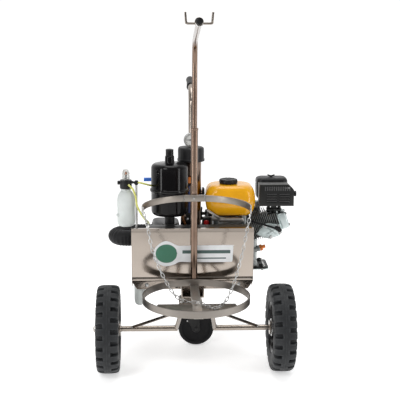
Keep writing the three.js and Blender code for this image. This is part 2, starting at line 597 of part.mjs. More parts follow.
const FILTER_TOP = 638;
const filterAxis = at(FILTER.x, FILTER.y, 0);
const ORANGE = at(-11, 0, 578);
const BLUE = at(-66, 0, 572);
add("filter_body", joined(
  turned([
    [0, 290], [18, 290], [FILTER_R - 6, 306], [FILTER_R, 316],
    [FILTER_R, FILTER_TOP], [FILTER_R - 5, FILTER_TOP],
    [FILTER_R - 5, FILTER_TOP + 28], [FILTER_R - 8, FILTER_TOP + 28], [FILTER_R - 8, 324], [0, 324],
  ], filterAxis, AXES.z, 28),
  bar(at(FILTER.x, FILTER.y, DECK_TOP + GAP), at(FILTER.x, FILTER.y, 292), 15, 24),
  bar(at(ORANGE.x, FILTER.y - 31, ORANGE.z), at(ORANGE.x, 218, ORANGE.z), 7, 16),
  bar(at(FILTER.x - 29, FILTER.y, BLUE.z - 12), at(BLUE.x - 18, FILTER.y + 4, BLUE.z - 12), 9, 16),
  bar(at(FILTER.x + 29, FILTER.y, 531), at(33, FILTER.y, 531), 9, 16),
), stainless);
add("filter_cap", joined(
  turned([
    [0, 31], [FILTER_R - 5 + GAP, 31], [FILTER_R - 5 + GAP, 1], [46, 1],
    [46, 9], [44, 9], [44, 42], [40, 48], [0, 48],
  ], at(FILTER.x, FILTER.y, FILTER_TOP), AXES.z, 30),
), blackPlastic);
add("pressure_knob", joined(
  disc(17, 0, 6, at(33 + GAP, FILTER.y, 531), AXES.x, 24),
  disc(14, 5, 8, at(33 + GAP, FILTER.y, 531), AXES.x, 24),
), blackPlastic);
add("relief_valve_handle", joined(
  disc(9, 0, 8, at(BLUE.x, FILTER.y + 4, BLUE.z - 3 + GAP), AXES.z, 20),
  box([BLUE.x - 96, BLUE.x], [FILTER.y, FILTER.y + 8], [BLUE.z, BLUE.z + 5]),
  box([BLUE.x - 98, BLUE.x - 52], [FILTER.y - 2, FILTER.y + 10], [BLUE.z - 3, BLUE.z + 8]),
), bluePlastic);
add("drain_valve_handle", joined(
  disc(6, 0, 6, at(ORANGE.x, 218 - GAP, ORANGE.z), at(0, -1, 0), 20),
  box([ORANGE.x - 5, ORANGE.x + 5], [206, 213], [ORANGE.z - 6, ORANGE.z + 13]),
), orangePlastic);

const GAUGE = at(-8, FILTER.y - 8, 711);
const GAUGE_R = 22.4;
add("gauge", cut(
  joined(
    disc(GAUGE_R, -12, 12, GAUGE, AXES.y, 36),
    bar(at(GAUGE.x, GAUGE.y, FILTER_TOP + 48 + GAP), at(GAUGE.x, GAUGE.y, GAUGE.z), 6, 16),
  ),
  disc(GAUGE_R - 2.5, -20, -6, GAUGE, AXES.y, 36),
), zinc);
add("gauge_needle", joined(
  disc(2.6, 0, 2, at(GAUGE.x, GAUGE.y - 7, GAUGE.z), at(0, -1, 0), 12),
  box([GAUGE.x - 14, GAUGE.x + 5], [GAUGE.y - 8.8, GAUGE.y - 7.6], [GAUGE.z - 0.8, GAUGE.z + 0.8]),
), redPlastic);

const SUCTION_R = 27;
const SUCTION_Z = 388;
add("suction_hose", hose([
  [-138, 288, SUCTION_Z], [-165, 288, SUCTION_Z], [-203, 285, SUCTION_Z], [-238, 267, SUCTION_Z],
  [-255, 242, SUCTION_Z], [-255, 226, SUCTION_Z], [-238, 204, SUCTION_Z], [-203, 198, SUCTION_Z],
  [-165, 202, SUCTION_Z], [-138, 206, SUCTION_Z],
], SUCTION_R, 2, 14), rubber);

// ---- bottle on its rod, with its feed tube ----
add("bottle", turned([
  [0, 0], [20, 0], [26, 4], [29, 14], [29.2, 78], [25, 88], [17, 94], [16, 122], [0, 122],
], BOTTLE, AXES.z, 24), milkyPlastic);
add("bottle_cap", joined(
  ring(16 + GAP, 19.5, 124, 141, BOTTLE, AXES.z, 28),
  disc(19.5, 122.5, 151, BOTTLE, AXES.z, 28),
  turned([[0, 150], [12.3, 150], [12.3, 176], [8, 184], [0, 187]], BOTTLE, AXES.z, 24),
  bar(at(BOTTLE.x, BOTTLE.y, 589), at(BOTTLE.x - 21, BOTTLE.y, 589), 4, 12),
  bar(at(BOTTLE.x, BOTTLE.y, 593), at(ROD.x - 9, ROD.y, 589), 4, 12),
), blackPlastic);
add("bottle_rod", joined(
  bar(at(ROD.x, ROD.y, DECK_TOP + GAP), at(ROD.x, ROD.y, 596), 3.5, 12),
  bar(at(ROD.x - 8, ROD.y, 589), at(ROD.x + 8, ROD.y, 589), 7, 16),
  bar(at(ROD.x, ROD.y, DECK_TOP + GAP), at(ROD.x, ROD.y, DECK_TOP + 9), 9, 6),
), zinc);
add("feed_tube", hose([
  [-211, 108, 586], [-196, 106, 572], [-188, 106, 545], [-184, 106, 518], [-172, 108, 492], [-158, 116, 470],
  [-150, 126, 460], [-147, 130, 453],
], 3.4, 2, 8), tubeYellow);
const underDeck = DECK_TOP - 3 - GAP;
add("drain_bottle", turned([
  [0, 178], [9, 180], [16, 187], [18, 196], [18, 250], [12, 258], [12, underDeck], [0, underDeck],
], at(-178, 128, 0), AXES.z, 20), milkyPlastic);

// ---- origin: on the ground, under the middle of the box ----
const extent = new THREE.Box3().setFromObject(machine);
const middle = extent.getCenter(new THREE.Vector3());
machine.position.set(-middle.x, -middle.y, -extent.min.z);

const whole = new THREE.Group();
whole.add(machine);
export default whole;
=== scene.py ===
from math import asin, cos, pi, radians, sin, sqrt
import bmesh
import bpy
from mathutils import Matrix, Vector


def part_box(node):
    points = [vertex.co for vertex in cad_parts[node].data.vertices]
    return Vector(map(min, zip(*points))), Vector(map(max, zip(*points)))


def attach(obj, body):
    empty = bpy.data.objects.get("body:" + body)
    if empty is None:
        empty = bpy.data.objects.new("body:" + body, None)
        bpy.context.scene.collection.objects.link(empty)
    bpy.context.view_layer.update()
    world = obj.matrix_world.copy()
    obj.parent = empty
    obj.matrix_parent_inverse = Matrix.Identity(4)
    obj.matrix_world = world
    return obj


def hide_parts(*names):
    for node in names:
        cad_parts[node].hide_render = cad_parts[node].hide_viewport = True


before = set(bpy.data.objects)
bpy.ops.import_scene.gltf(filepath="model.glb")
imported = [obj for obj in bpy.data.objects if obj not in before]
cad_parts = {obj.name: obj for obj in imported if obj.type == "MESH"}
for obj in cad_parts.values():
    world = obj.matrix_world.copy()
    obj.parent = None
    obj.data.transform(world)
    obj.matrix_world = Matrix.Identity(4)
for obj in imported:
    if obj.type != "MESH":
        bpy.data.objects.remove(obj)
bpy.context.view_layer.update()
ROOT = "chassis"

# ---- the machine's own axes, in millimetres from the ground point midway between the two tyres ----
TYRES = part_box("tyre_left"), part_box("tyre_right")
MM = 0.001
ORIGIN = Vector(((TYRES[0][0][0] + TYRES[1][1][0]) / 2, (TYRES[0][0][1] + TYRES[0][1][1]) / 2, 0))
TO_ROW = Matrix.Translation(ORIGIN) @ Matrix.Scale(MM, 4)
X, Y, Z = Vector((1, 0, 0)), Vector((0, 1, 0)), Vector((0, 0, 1))


def span(node):
    """The node's box in machine millimetres, as three (low, high) pairs."""
    lo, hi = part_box(node)
    return [((lo[i] - ORIGIN[i]) / MM, (hi[i] - ORIGIN[i]) / MM) for i in range(3)]


def middle(node):
    return Vector([(a + b) / 2 for a, b in span(node)])


def mirrored(profile):
    """The profile followed by its mirror image at the other height."""
    return profile + [(r, -h) for r, h in reversed(profile)]


def turn_to(axis):
    return Vector(axis).normalized().to_track_quat("Z", "Y").to_matrix().to_4x4()


def turned(at, angle, axis="Y"):
    return Matrix.Translation(at) @ Matrix.Rotation(angle, 4, axis)


# ---- mesh making ----
def skin(bm, rows):
    """Joins each ring of points to the next, and closes both ends."""
    n = len(rows[0])
    for a, b in zip(rows, rows[1:]):
        for k in range(n):
            bm.faces.new((a[k], a[(k + 1) % n], b[(k + 1) % n], b[k]))
    bm.faces.new(rows[0])
    bm.faces.new(rows[-1])
    bmesh.ops.recalc_face_normals(bm, faces=bm.faces)
    return bm


class Shape:
    """Gathers shapes given in machine millimetres and makes one piece of them."""

    def __init__(self):
        self.bm = bmesh.new()

    def merge(self, part, matrix=None):
        if matrix is not None:
            part.transform(matrix)
        mesh = bpy.data.meshes.new("part")
        part.to_mesh(mesh)
        part.free()
        self.bm.from_mesh(mesh)
        bpy.data.meshes.remove(mesh)
        return self

    def lathe(self, profile, at, axis=Z, segs=64, ripple=None):
        """Turns [radius, height] points about axis; ripple(radius, height, angle) may change a radius."""
        bm = bmesh.new()
        closed = profile[0] == profile[-1]
        points = profile[:-1] if closed else profile
        rows = []
        for k in range(segs):
            a = 2 * pi * k / segs
            row = []
            for r, h in points:
                radius = ripple(r, h, a) if ripple else r
                row.append(bm.verts.new((radius * cos(a), radius * sin(a), h)))
            rows.append(row)
        count = len(points)
        for k in range(segs):
            a, b = rows[k], rows[(k + 1) % segs]
            for i in range(count if closed else count - 1):
                j = (i + 1) % count
                bm.faces.new((a[i], b[i], b[j], a[j]))
        bmesh.ops.remove_doubles(bm, verts=bm.verts, dist=0.001)
        bmesh.ops.recalc_face_normals(bm, faces=bm.faces)
        return self.merge(bm, Matrix.Translation(at) @ turn_to(axis))

    def box(self, x, y, z, bevel=1.0, segs=2, matrix=None):
        bm = bmesh.new()
        bmesh.ops.create_cube(bm, size=1)
        size = Vector((x[1] - x[0], y[1] - y[0], z[1] - z[0]))
        bm.transform(Matrix.Diagonal((*size, 1)))
        if bevel:
            bmesh.ops.bevel(bm, geom=bm.edges[:], offset=bevel, segments=segs, profile=0.5, affect="EDGES")
        centre = Vector(((x[0] + x[1]) / 2, (y[0] + y[1]) / 2, (z[0] + z[1]) / 2))
        place = Matrix.Translation(centre)
        return self.merge(bm, matrix @ place if matrix else place)

    def rod(self, a, b, r, segs=32, chamfer=0.0):
        a, b = Vector(a), Vector(b)
        h = (b - a).length
        c = min(chamfer, h / 3, r / 2)
        profile = [(0, 0), (r - c, 0), (r, c), (r, h - c), (r - c, h), (0, h)] if c else [(0, 0), (r, 0),
            (r, h), (0, h)]
        return self.lathe(profile, a, b - a, segs)

    def prism(self, outline, lo, hi, plane="xz", bevel=0.0, segs=2):
        """A plate cut from an outline and given thickness along the third axis."""
        put = {"xz": lambda u, v, w: (u, w, v), "xy": lambda u, v, w: (u, v, w), "yz": lambda u, v,
            w: (w, u, v)}[plane]
        bm = bmesh.new()
        bottom = [bm.verts.new(put(u, v, lo)) for u, v in outline]
        top = [bm.verts.new(put(u, v, hi)) for u, v in outline]
        bm.faces.new(bottom)
        bm.faces.new(list(reversed(top)))
        n = len(outline)
        for i in range(n):
            j = (i + 1) % n
            bm.faces.new((bottom[i], top[i], top[j], bottom[j]))
        bmesh.ops.recalc_face_normals(bm, faces=bm.faces)
        if bevel:
            bmesh.ops.bevel(bm, geom=bm.edges[:], offset=bevel, segments=segs, profile=0.5, affect="EDGES")
        return self.merge(bm)

    def sweep(self, path, radius, segs=20, section=None, closed=False):
        """Runs a round section, or a list of (u, v) points, along a path of points."""
        path = [Vector(p) for p in path]
        ring = section or [(radius * cos(2 * pi * k / segs), radius * sin(2 * pi * k / segs))
            for k in range(segs)]
        n = len(path)
        tangents = []
        for i in range(n):
            a = path[i - 1] if (i or closed) else path[0]
            b = path[(i + 1) % n] if (i < n - 1 or closed) else path[-1]
            tangents.append((b - a).normalized())
        upright = abs(tangents[0].z) > 0.9
        side = (tangents[0].orthogonal() if upright else tangents[0].cross(Z)).normalized()
        bm = bmesh.new()
        rows = []
        for i, point in enumerate(path):
            if i:
                side = (tangents[i - 1].rotation_difference(tangents[i]) @ side).normalized()
            up = tangents[i].cross(side).normalized()
            rows.append([bm.verts.new(point + side * u + up * v) for u, v in ring])
        m = len(ring)
        for i in range(n if closed else n - 1):
            a, b = rows[i], rows[(i + 1) % n]
            for k in range(m):
                bm.faces.new((a[k], a[(k + 1) % m], b[(k + 1) % m], b[k]))
        if not closed:
            bm.faces.new(rows[0])
            bm.faces.new(list(reversed(rows[-1])))
        bmesh.ops.recalc_face_normals(bm, faces=bm.faces)
        return self.merge(bm)

    def loft(self, sections, segs=64):
        """Skins rounded rectangles: each section is (z, half x, half y, corner, centre x, centre y)."""
        bm = bmesh.new()
        rows = []
        for z, hx, hy, corner, cx, cy in sections:
            outline = rounded_rectangle(hx, hy, corner, segs)
            rows.append([bm.verts.new((cx + u, cy + v, z)) for u, v in outline])
        return self.merge(skin(bm, rows))

    def bolt(self, at, axis, across=8.0, head=4.0, washer=True):
        """A hexagon head on a washer, standing on a face at that point."""
        at, axis = Vector(at), Vector(axis).normalized()
        r = across / sqrt(3)
        base = 1.2 if washer else 0.0
        if washer:
            self.lathe([(0, 0), (r * 1.45, 0), (r * 1.45, 0.9), (r * 1.35, base), (0, base)], at, axis, 28)
        self.lathe([(0, base), (r, base), (r, base + head * 0.8), (r * 0.85, base + head), (0, base + head)],
            at, axis, 6)
        return self

    def weld(self, path, radius=1.6):
        """A rippled weld bead along a path."""
        points = smooth_path(path, 6)
        for a, b in zip(points, points[1:]):
            mid = (a + b) / 2
            self.lathe([(0, -radius * 0.6), (radius * 0.8, -radius * 0.4), (radius, 0),
                (radius * 0.8, radius * 0.4), (0, radius * 0.6)], mid, b - a, 10)
        return self

    def piece(self, name, look, body=ROOT, replaces=(), slot=None, sharp=38.0):
        mesh = bpy.data.meshes.new(name)
        self.bm.transform(TO_ROW)
        self.bm.to_mesh(mesh)
        self.bm.free()
        mesh.polygons.foreach_set("use_smooth", [True] * len(mesh.polygons))
        mesh.set_sharp_from_angle(angle=radians(sharp))
        mesh.materials.append(look)
        o = bpy.data.objects.new(name, mesh)
        bpy.context.scene.collection.objects.link(o)
        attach(o, body)
        if replaces:
            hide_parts(*([replaces] if isinstance(replaces, str) else replaces))
        return o


def rounded_rectangle(hx, hy, corner, segs):
    corner = min(corner, hx, hy)
    arc = segs // 4
    points = []
    for q, (sx, sy) in enumerate(((1, 1), (-1, 1), (-1, -1), (1, -1))):
        for k in range(arc):
            a = pi / 2 * (q + k / (arc - 1))
            points.append((sx * (hx - corner) + corner * cos(a), sy * (hy - corner) + corner * sin(a)))
    return points


def smooth_path(points, per_span=8):
    """A Catmull-Rom curve through the points."""
    p = [Vector(q) for q in points]
    p = [p[0] * 2 - p[1], *p, p[-1] * 2 - p[-2]]
    out = []
    for i in range(1, len(p) - 2):
        a, b, c, d = p[i - 1], p[i], p[i + 1], p[i + 2]
        for k in range(per_span):
            t = k / per_span
            out.append(0.5 * ((2 * b) + (c - a) * t + (2 * a - 5 * b + 4 * c - d) * t**2
                              + (3 * b - a - 3 * c + d) * t**3))
    out.append(p[-2])
    return out


def arc_path(centre, radius, start, end, count, z):
    """Points on a level arc; the angles are in degrees from +X."""
    steps = [radians(start + (end - start) * k / (count - 1)) for k in range(count)]
    return [Vector((centre[0] + radius * cos(a), centre[1] + radius * sin(a), z)) for a in steps]


class Look:
    """A Principled material under construction, with short ways to add nodes."""

    def __init__(self, name, slot):
        self.m = bpy.data.materials.new(name)
        self.m.use_nodes = True
        self.nodes, self.links = self.m.node_tree.nodes, self.m.node_tree.links
        self.shader = self.nodes["Principled BSDF"]
        self.coords = self.nodes.new("ShaderNodeTexCoord").outputs["Object"]

    def set(self, **values):
        for key, value in values.items():
            self.shader.inputs[key.replace("_", " ")].default_value = value
        return self

    def noise(self, scale, detail=4.0, stretch=(1, 1, 1), roughness=0.55):
        place = self.nodes.new("ShaderNodeMapping")
        place.inputs["Scale"].default_value = stretch
        self.links.new(self.coords, place.inputs["Vector"])
        n = self.nodes.new("ShaderNodeTexNoise")
        n.inputs["Scale"].default_value = scale
        n.inputs["Detail"].default_value = detail
        n.inputs["Roughness"].default_value = roughness
        self.links.new(place.outputs["Vector"], n.inputs["Vector"])
        return n.outputs["Fac"]

    def remap(self, value, low, high, from_low=0.3, from_high=0.7):
        n = self.nodes.new("ShaderNodeMapRange")
        for key, v in (("From Min", from_low), ("From Max", from_high), ("To Min", low), ("To Max", high)):
            n.inputs[key].default_value = v
        self.links.new(value, n.inputs["Value"])
        return n.outputs["Result"]

    def mix(self, factor, a, b):
        n = self.nodes.new("ShaderNodeMix")
        n.data_type = "RGBA"
        self.links.new(factor, n.inputs["Factor"])
        for socket, value in ((n.inputs[6], a), (n.inputs[7], b)):
            if isinstance(value, tuple):
                socket.default_value = (*value, 1)
            else:
                self.links.new(value, socket)
        return n.outputs[2]

    def edges(self, low=0.51, high=0.58):
        geometry = self.nodes.new("ShaderNodeNewGeometry")
        return self.remap(geometry.outputs["Pointiness"], 0.0, 1.0, low, high)

    def colour(self, value):
        self.links.new(value, self.shader.inputs["Base Color"])
        return self

    def rough(self, value):
        self.links.new(value, self.shader.inputs["Roughness"])
        return self

    def bump(self, height, strength, distance=0.001):
        n = self.nodes.new("ShaderNodeBump")
        n.inputs["Strength"].default_value = strength
        n.inputs["Distance"].default_value = distance
        self.links.new(height, n.inputs["Height"])
        self.links.new(n.outputs["Normal"], self.shader.inputs["Normal"])
        return self


def metal(name, slot, light, dark, rough, scale=6.0, grain=(1, 1, 14), bump=0.05):
    """Bare metal with blotchy tone and fine directional polishing marks."""
    k = Look(name, slot).set(Metallic=1.0)
    k.colour(k.mix(k.remap(k.noise(scale), 0, 1), dark, light))
    k.rough(k.remap(k.noise(90, 6, grain), *rough))
    return k.bump(k.noise(260, 3, grain), bump, 0.0004).m


def paint(name, slot, base, worn, rough, coat=0.0, peel=0.04, shine=0.28):
    """Gloss or satin paint with slight orange peel and paler worn edges."""
    k = Look(name, slot).set(Coat_Weight=coat, Coat_Roughness=0.08, Specular_IOR_Level=shine)
    tone = k.mix(k.remap(k.noise(9), 0, 1), tuple(c * 0.86 for c in base), base)
    k.colour(k.mix(k.edges(), tone, worn))
    k.rough(k.remap(k.noise(30, 5), *rough))
    return k.bump(k.noise(420, 2), peel, 0.0005).m


def plastic(name, slot, base, rough, grain=0.12, grain_scale=900, **extra):
    """Moulded plastic or rubber: a fine grain and faint handling marks."""
    k = Look(name, slot).set(**extra)
    k.colour(k.mix(k.remap(k.noise(14), 0, 1), tuple(c * 0.8 for c in base), base))
    k.rough(k.remap(k.noise(45, 5), *rough))
    return k.bump(k.noise(grain_scale, 2), grain, 0.0004).m


STAINLESS = metal("polished_stainless", "stainless", (0.40, 0.35, 0.305), (0.30, 0.26, 0.225), (0.14, 0.30))
PALE_STEEL = metal("pale_brushed_stainless", "stainless", (0.72, 0.68, 0.63), (0.58, 0.54, 0.50), (0.28, 0.4))
# A darker copy of the stainless for the lower hoop, whose front faces the camera and floor, away from the top
# light: painted shade.
SHADED_STAINLESS = metal("shaded_stainless", "stainless", (0.285, 0.26, 0.235), (0.21, 0.19, 0.17), (0.30, 0.44))
SATIN = metal("satin_stainless", "stainless", (0.36, 0.325, 0.29), (0.26, 0.235, 0.205), (0.32, 0.46))
# Polished tube stainless, darkened and browned to stand in for the dark surroundings the tubes reflect:
# painted reflection.
TUBE = metal("reflection_darkened_tube_stainless", "stainless", (0.30, 0.215, 0.165), (0.15, 0.10, 0.075), (0.09, 0.2))
MIRROR = metal("mirror_stainless", "stainless", (0.45, 0.39, 0.34), (0.36, 0.315, 0.275), (0.07, 0.14), 3.0,
    (14, 1, 1), 0.02)
ZINC = metal("bright_zinc", "zinc", (0.58, 0.58, 0.57), (0.40, 0.40, 0.395), (0.20, 0.36), 30)
PALE_CAST = metal("pale_alloy", "cast_alloy", (0.60, 0.66, 0.655), (0.47, 0.53, 0.525), (0.30, 0.45), 26,
    (1, 1, 1), 0.12)
CAST = metal("cast_aluminium", "cast_alloy", (0.48, 0.50, 0.495), (0.34, 0.36, 0.35), (0.36, 0.55), 26,
    (1, 1, 1), 0.5)
FIN_CAST = metal("dark_finned_alloy", "cast_alloy", (0.30, 0.31, 0.305), (0.16, 0.165, 0.16), (0.3, 0.45),
    26, (1, 1, 1), 0.2)
# Near-black cast alloy; on the cylinder barrel it stands in for the shade in the gaps between the fins
# (painted shade).
DARK_CAST = metal("darkened_cast_aluminium", "cast_alloy", (0.075, 0.078, 0.076), (0.03, 0.03, 0.03),
    (0.42, 0.6), 26, (1, 1, 1), 0.4)
BLACK_GLOSS = paint("gloss_black_paint", "black_paint", (0.004, 0.0035, 0.004), (0.012, 0.012, 0.012),
    (0.10, 0.20), 0.0, 0.04, 0.2)
BLACK_SATIN = paint("satin_black_paint", "black_paint", (0.009, 0.009, 0.009), (0.04, 0.04, 0.038),
    (0.30, 0.46), 0.0, 0.12)
PUMP_PAINT = paint("painted_casting", "pump_casting", (0.009, 0.009, 0.010), (0.05, 0.05, 0.048),
    (0.3, 0.45), 0.0, 0.5)
# A lighter black for the guard's louvre lips, standing in for the glints they catch: painted highlight.
DARK_EDGE = paint("painted_glint_black_edge", "black_paint", (0.05, 0.05, 0.05), (0.12, 0.12, 0.12), (0.3, 0.42))
YELLOW = paint("amber_gloss_paint", "yellow_tank", (0.86, 0.40, 0.006), (0.90, 0.48, 0.02), (0.16, 0.24),
    0.25, 0.02, 0.4)
BLACK_PLASTIC = plastic("moulded_black", "black_plastic", (0.011, 0.011, 0.012), (0.34, 0.5),
    Specular_IOR_Level=0.28)
SHROUD = plastic("shroud_black", "shroud", (0.010, 0.010, 0.011), (0.26, 0.4), Specular_IOR_Level=0.28)
RUBBER = plastic("black_rubber", "rubber", (0.008, 0.008, 0.009), (0.5, 0.68), 0.3, Specular_IOR_Level=0.22)
BLUE = plastic("blue_plastic", "blue", (0.02, 0.15, 0.62), (0.3, 0.42))
NAVY = plastic("navy_tube", "blue", (0.012, 0.035, 0.16), (0.25, 0.36))
ORANGE = plastic("orange_plastic", "orange", (0.93, 0.27, 0.05), (0.28, 0.4))
RED = plastic("red_plastic", "red", (0.42, 0.012, 0.012), (0.25, 0.38))
BROWN_TUBE = plastic("amber_brown_tube", "orange", (0.36, 0.13, 0.035), (0.25, 0.38))
WHITE_PRINT = plastic("white_label", "milky", (0.86, 0.87, 0.88), (0.28, 0.36), 0.03)
GREEN_PRINT = plastic("green_label", "milky", (0.055, 0.20, 0.125), (0.28, 0.36), 0.03)
GREY_PRINT = plastic("grey_green_label", "milky", (0.075, 0.125, 0.115), (0.28, 0.36), 0.03)
DIAL = plastic("dial_white", "milky", (0.86, 0.86, 0.83), (0.3, 0.4), 0.02, Coat_Weight=0.6,
    Coat_Roughness=0.05)
MILKY = plastic("milky_plastic", "milky", (0.80, 0.84, 0.82), (0.30, 0.42), 0.05, 300,
    Transmission_Weight=0.25, Subsurface_Weight=0.3, Subsurface_Radius=(0.02, 0.02, 0.02))
TUBE_YELLOW = plastic("clear_yellow_tube", "tube_yellow", (0.80, 0.80, 0.22), (0.2, 0.3), 0.02, 300,
    Transmission_Weight=0.2)
CLEAR = plastic("clear_dome", "milky", (0.93, 0.93, 0.91), (0.04, 0.08), 0.0, 300, Transmission_Weight=0.95,
    IOR=1.45)


def tyre_look():
    k = Look("tyre_tread", "tyre_rubber").set(Specular_IOR_Level=0.3)
    dust = k.remap(k.noise(7, 6), 0, 1, 0.42, 0.75)
    tone = k.mix(dust, (0.010, 0.011, 0.0125), (0.024, 0.0255, 0.0275))
    k.colour(k.mix(k.edges(0.5, 0.6), tone, (0.052, 0.055, 0.058)))
    k.rough(k.remap(k.noise(60, 5), 0.48, 0.72))
    return k.bump(k.noise(700, 3), 0.3, 0.0005).m


TYRE = tyre_look()


def dress(look, *names, bevel=0.0):
    """Gives a CAD node smooth curved faces, crisp edges and a proper material."""
    for name in names:
        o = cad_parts[name]
        for attribute in [a for a in o.data.attributes if a.name == "custom_normal"]:
            o.data.attributes.remove(attribute)
        o.data.materials.clear()
        o.data.materials.append(look)
        o.data.polygons.foreach_set("use_smooth", [True] * len(o.data.polygons))
        o.modifiers.new("weld", "WELD").merge_threshold = 1e-5
        if bevel:
            b = o.modifiers.new("bevel", "BEVEL")
            b.width, b.segments, b.limit_method, b.angle_limit = bevel * MM, 2, "ANGLE", radians(50)
        o.modifiers.new("split", "EDGE_SPLIT").split_angle = radians(36)


def bolt_set(name, points, axis, across, head):
    """One piece that holds equal bolts at several points."""
    shape = Shape()
    for point in points:
        shape.bolt(point, axis, across, head)
    shape.piece(name, ZINC)


def six_round(x, y, z, radius, start=0):
    """Six points round a circle that faces along Y; the first is at start degrees."""
    angles = [radians(60 * k + start) for k in range(6)]
    return [(x + radius * cos(a), y, z + radius * sin(a)) for a in angles]


# ---- road wheels: chunky shoulder lugs round a smooth crown with a fine seam ----
WHEEL_R = middle("tyre_left").z
LUGS = 24


def lugs(r, h, angle):
    phase = (angle * LUGS / (2 * pi) + (0.5 if h > 0 else 0)) % 1
    groove = max(0.0, min(1.0, (0.19 - abs(phase - 0.5)) / 0.05))
    reach = max(0.0, min(1.0, (abs(h) - 10.5) / 4.0))
    inner = max(0.0, min(1.0, (r - 116) / 6))
    return r - 10.5 * groove * reach * inner


TREAD = [(82, -30), (84, -33), (92, -35.2), (104, -36), (112, -35.6), (117, -34.6), (122, -34.8),
    (128, -34.9), (133, -33.5), (136, -30), (138, -25), (139, -19), (139.4, -14.5), (139.5, -12.5),
    (139.6, -10.5), (139.6, -5), (139.6, -0.9), (140, -0.6)]
PROFILE = mirrored(TREAD)
RIM = [(23, -30), (24, -29), (24, -6), (30, -5), (62, -5), (70, -8), (73, -14), (75, -26), (80, -29),
    (81.6, -30)]
for side in ("left", "right"):
    hub = middle("tyre_" + side)
    body = "wheel_" + side
    Shape().lathe(PROFILE, hub, X, LUGS * 14, lugs).piece("tread_" + side, TYRE, body, "tyre_" + side,
        sharp=30)
    rim = Shape().lathe(mirrored(RIM) + [(16, 30), (16, -30), RIM[0]], hub, X, 72)
    rim.piece("rim_disc_" + side, BLACK_GLOSS, body, "rim_" + side)
    bolts = Shape()
    for face in (-1, 1):
        cup = [(16, 31.5), (27, 31.5), (28, 30.5), (28, 28), (16, 28), (16, 31.5)]
        bolts.lathe([(u, face * v) for u, v in cup], hub, X, 48)
        for k in range(6):
            a = radians(60 * k + 15)
            bolts.bolt(hub + Vector((face * 5, 46 * cos(a), 46 * sin(a))), (face, 0, 0), 11, 5)
    bolts.rod(hub + Vector((-6, 0, 78)), hub + Vector((-22, 0, 68)), 3.2, 16)
    bolts.piece("hub_fittings_" + side, ZINC, body)
dress(ZINC, "bearing_left", "bearing_right", "axle_nut_left", "axle_nut_right", bevel=0.5)

# ---- axle halves, hangers and braces ----
for side, sign in (("left", -1), ("right", 1)):
    inner = Vector((1.5 + sign * 57, 0, WHEEL_R))
    hanger = Vector((-1 + sign * 44, -142, 252.5))
    brace = Vector((-1 + sign * 70, -190, 253.5))
    axle = Shape().rod(inner, (sign * 323, 0, WHEEL_R), 9, 48, 1.2)
    axle.rod(inner + Vector((sign * 4, 0, 0)), hanger, 7, 32).rod((sign * 198, 0, WHEEL_R + 5), brace, 5, 32)
    axle.lathe([(8, 0), (22.5, 0), (23, 0.6), (23, 3.4), (22.5, 4), (8, 4)], (sign * 238, 0, WHEEL_R),
        (sign, 0, 0), 48)
    axle.piece("axle_half_" + side, STAINLESS, ROOT, "axle_" + side)
    seam = Shape().weld([(sign * 192, -5, WHEEL_R + 8), (sign * 198, -7.5, WHEEL_R + 6),
        (sign * 205, -5, WHEEL_R + 7.6)])
    ring = [inner + Vector((sign * (4 + 8 * cos(a)), 8.1 * sin(a), 7 + 2 * cos(2 * a)))
        for a in [pi * k / 5 for k in range(10)]]
    seam.weld(ring + ring[:1]).piece("axle_welds_" + side, ZINC, slot="stainless")

# ---- caster ----
dress(BLACK_SATIN, "caster_fork", bevel=0.6)
dress(STAINLESS, "caster_mount", bevel=0.6)
roller = middle("caster_wheel")
side_face = [(5.4, -13), (13.5, -14), (15, -13.2), (16, -11), (44, -10.5), (47, -12), (49, -14.2),
    (55, -14.9), (58.5, -13), (60.4, -9), (61, -4)]
Shape().lathe(mirrored(side_face), roller, Y, 96).piece("caster_tread", RUBBER, "caster_roller",
    "caster_wheel")
marks = Shape()
for dx in (-8, 18):
    marks.bolt((roller.x - 22 + dx, roller.y - 11, roller.z + 26), (0, -1, 0), 5, 2, False)
marks.piece("caster_rivets", ZINC, "caster_roller")
corners = [(roller.x - 20 + dx, roller.y + dy, 161) for dx in (-31, 31) for dy in (-36, 36)]
bolt_set("caster_bolts", corners, Z, 9, 4)

# ---- deck, front panel and spine ----
DX, DY, DZ = span("deck")
DY = (DY[0] + 2.5, DY[1])
TOP = DZ[1]
lip = [(DX[0], TOP), (DX[0], TOP - 3), (DX[0] + 17, DZ[0]), (-43, DZ[0]), (-43, 257.5), (32, 257.5),
    (32, DZ[0]), (DX[1] - 17, DZ[0]), (DX[1], TOP - 3), (DX[1], TOP)]
back_lip = [(DX[0], TOP), (DX[0], TOP - 3), (DX[0] + 17, DZ[0]), (DX[1] - 17, DZ[0]), (DX[1], TOP - 3),
    (DX[1], TOP)]
deck = Shape().box(DX, DY, (TOP - 3, TOP), 0.9, 3)
deck.prism(lip, DY[0], DY[0] + 2.2, bevel=0.5).prism(back_lip, DY[1] - 2.2, DY[1], bevel=0.5)
for x in ((DX[0], DX[0] + 2), (DX[1] - 2, DX[1])):
    deck.box(x, (DY[0] + 20, DY[1] - 20), (245, TOP - 1), 0.5)
for x in ((-48, -38), (27, 37)):
    deck.box(x, (DY[0] + 4, 330), (257.4, TOP - 1), 0.4)
deck.piece("deck_tray", STAINLESS, ROOT, "deck")
bolt_set("lip_bolts", [(x, DY[0], 255) for x in (-154, 147)], -Y, 8, 2.2)
grommet = Shape().lathe([(2.5, 0), (6, 0), (6.5, 0.8), (5.5, 1.8), (2.5, 1.8), (2.5, 0)], (-57, DY[0], 250),
    -Y, 32)
grommet.lathe([(0, 0.2), (2.6, 0.2), (2.6, 0.9), (0, 0.9)], (-57, DY[0], 250), -Y, 24).piece("lip_grommet",
    RUBBER)
deck_bolts = Shape().rod((240, 236, 262), (240, 236, 292), 3.4, 16)
for x in (75, 240):
    for y in (236, 308):
        deck_bolts.bolt((x, y, TOP + 9), Z, 12, 7)
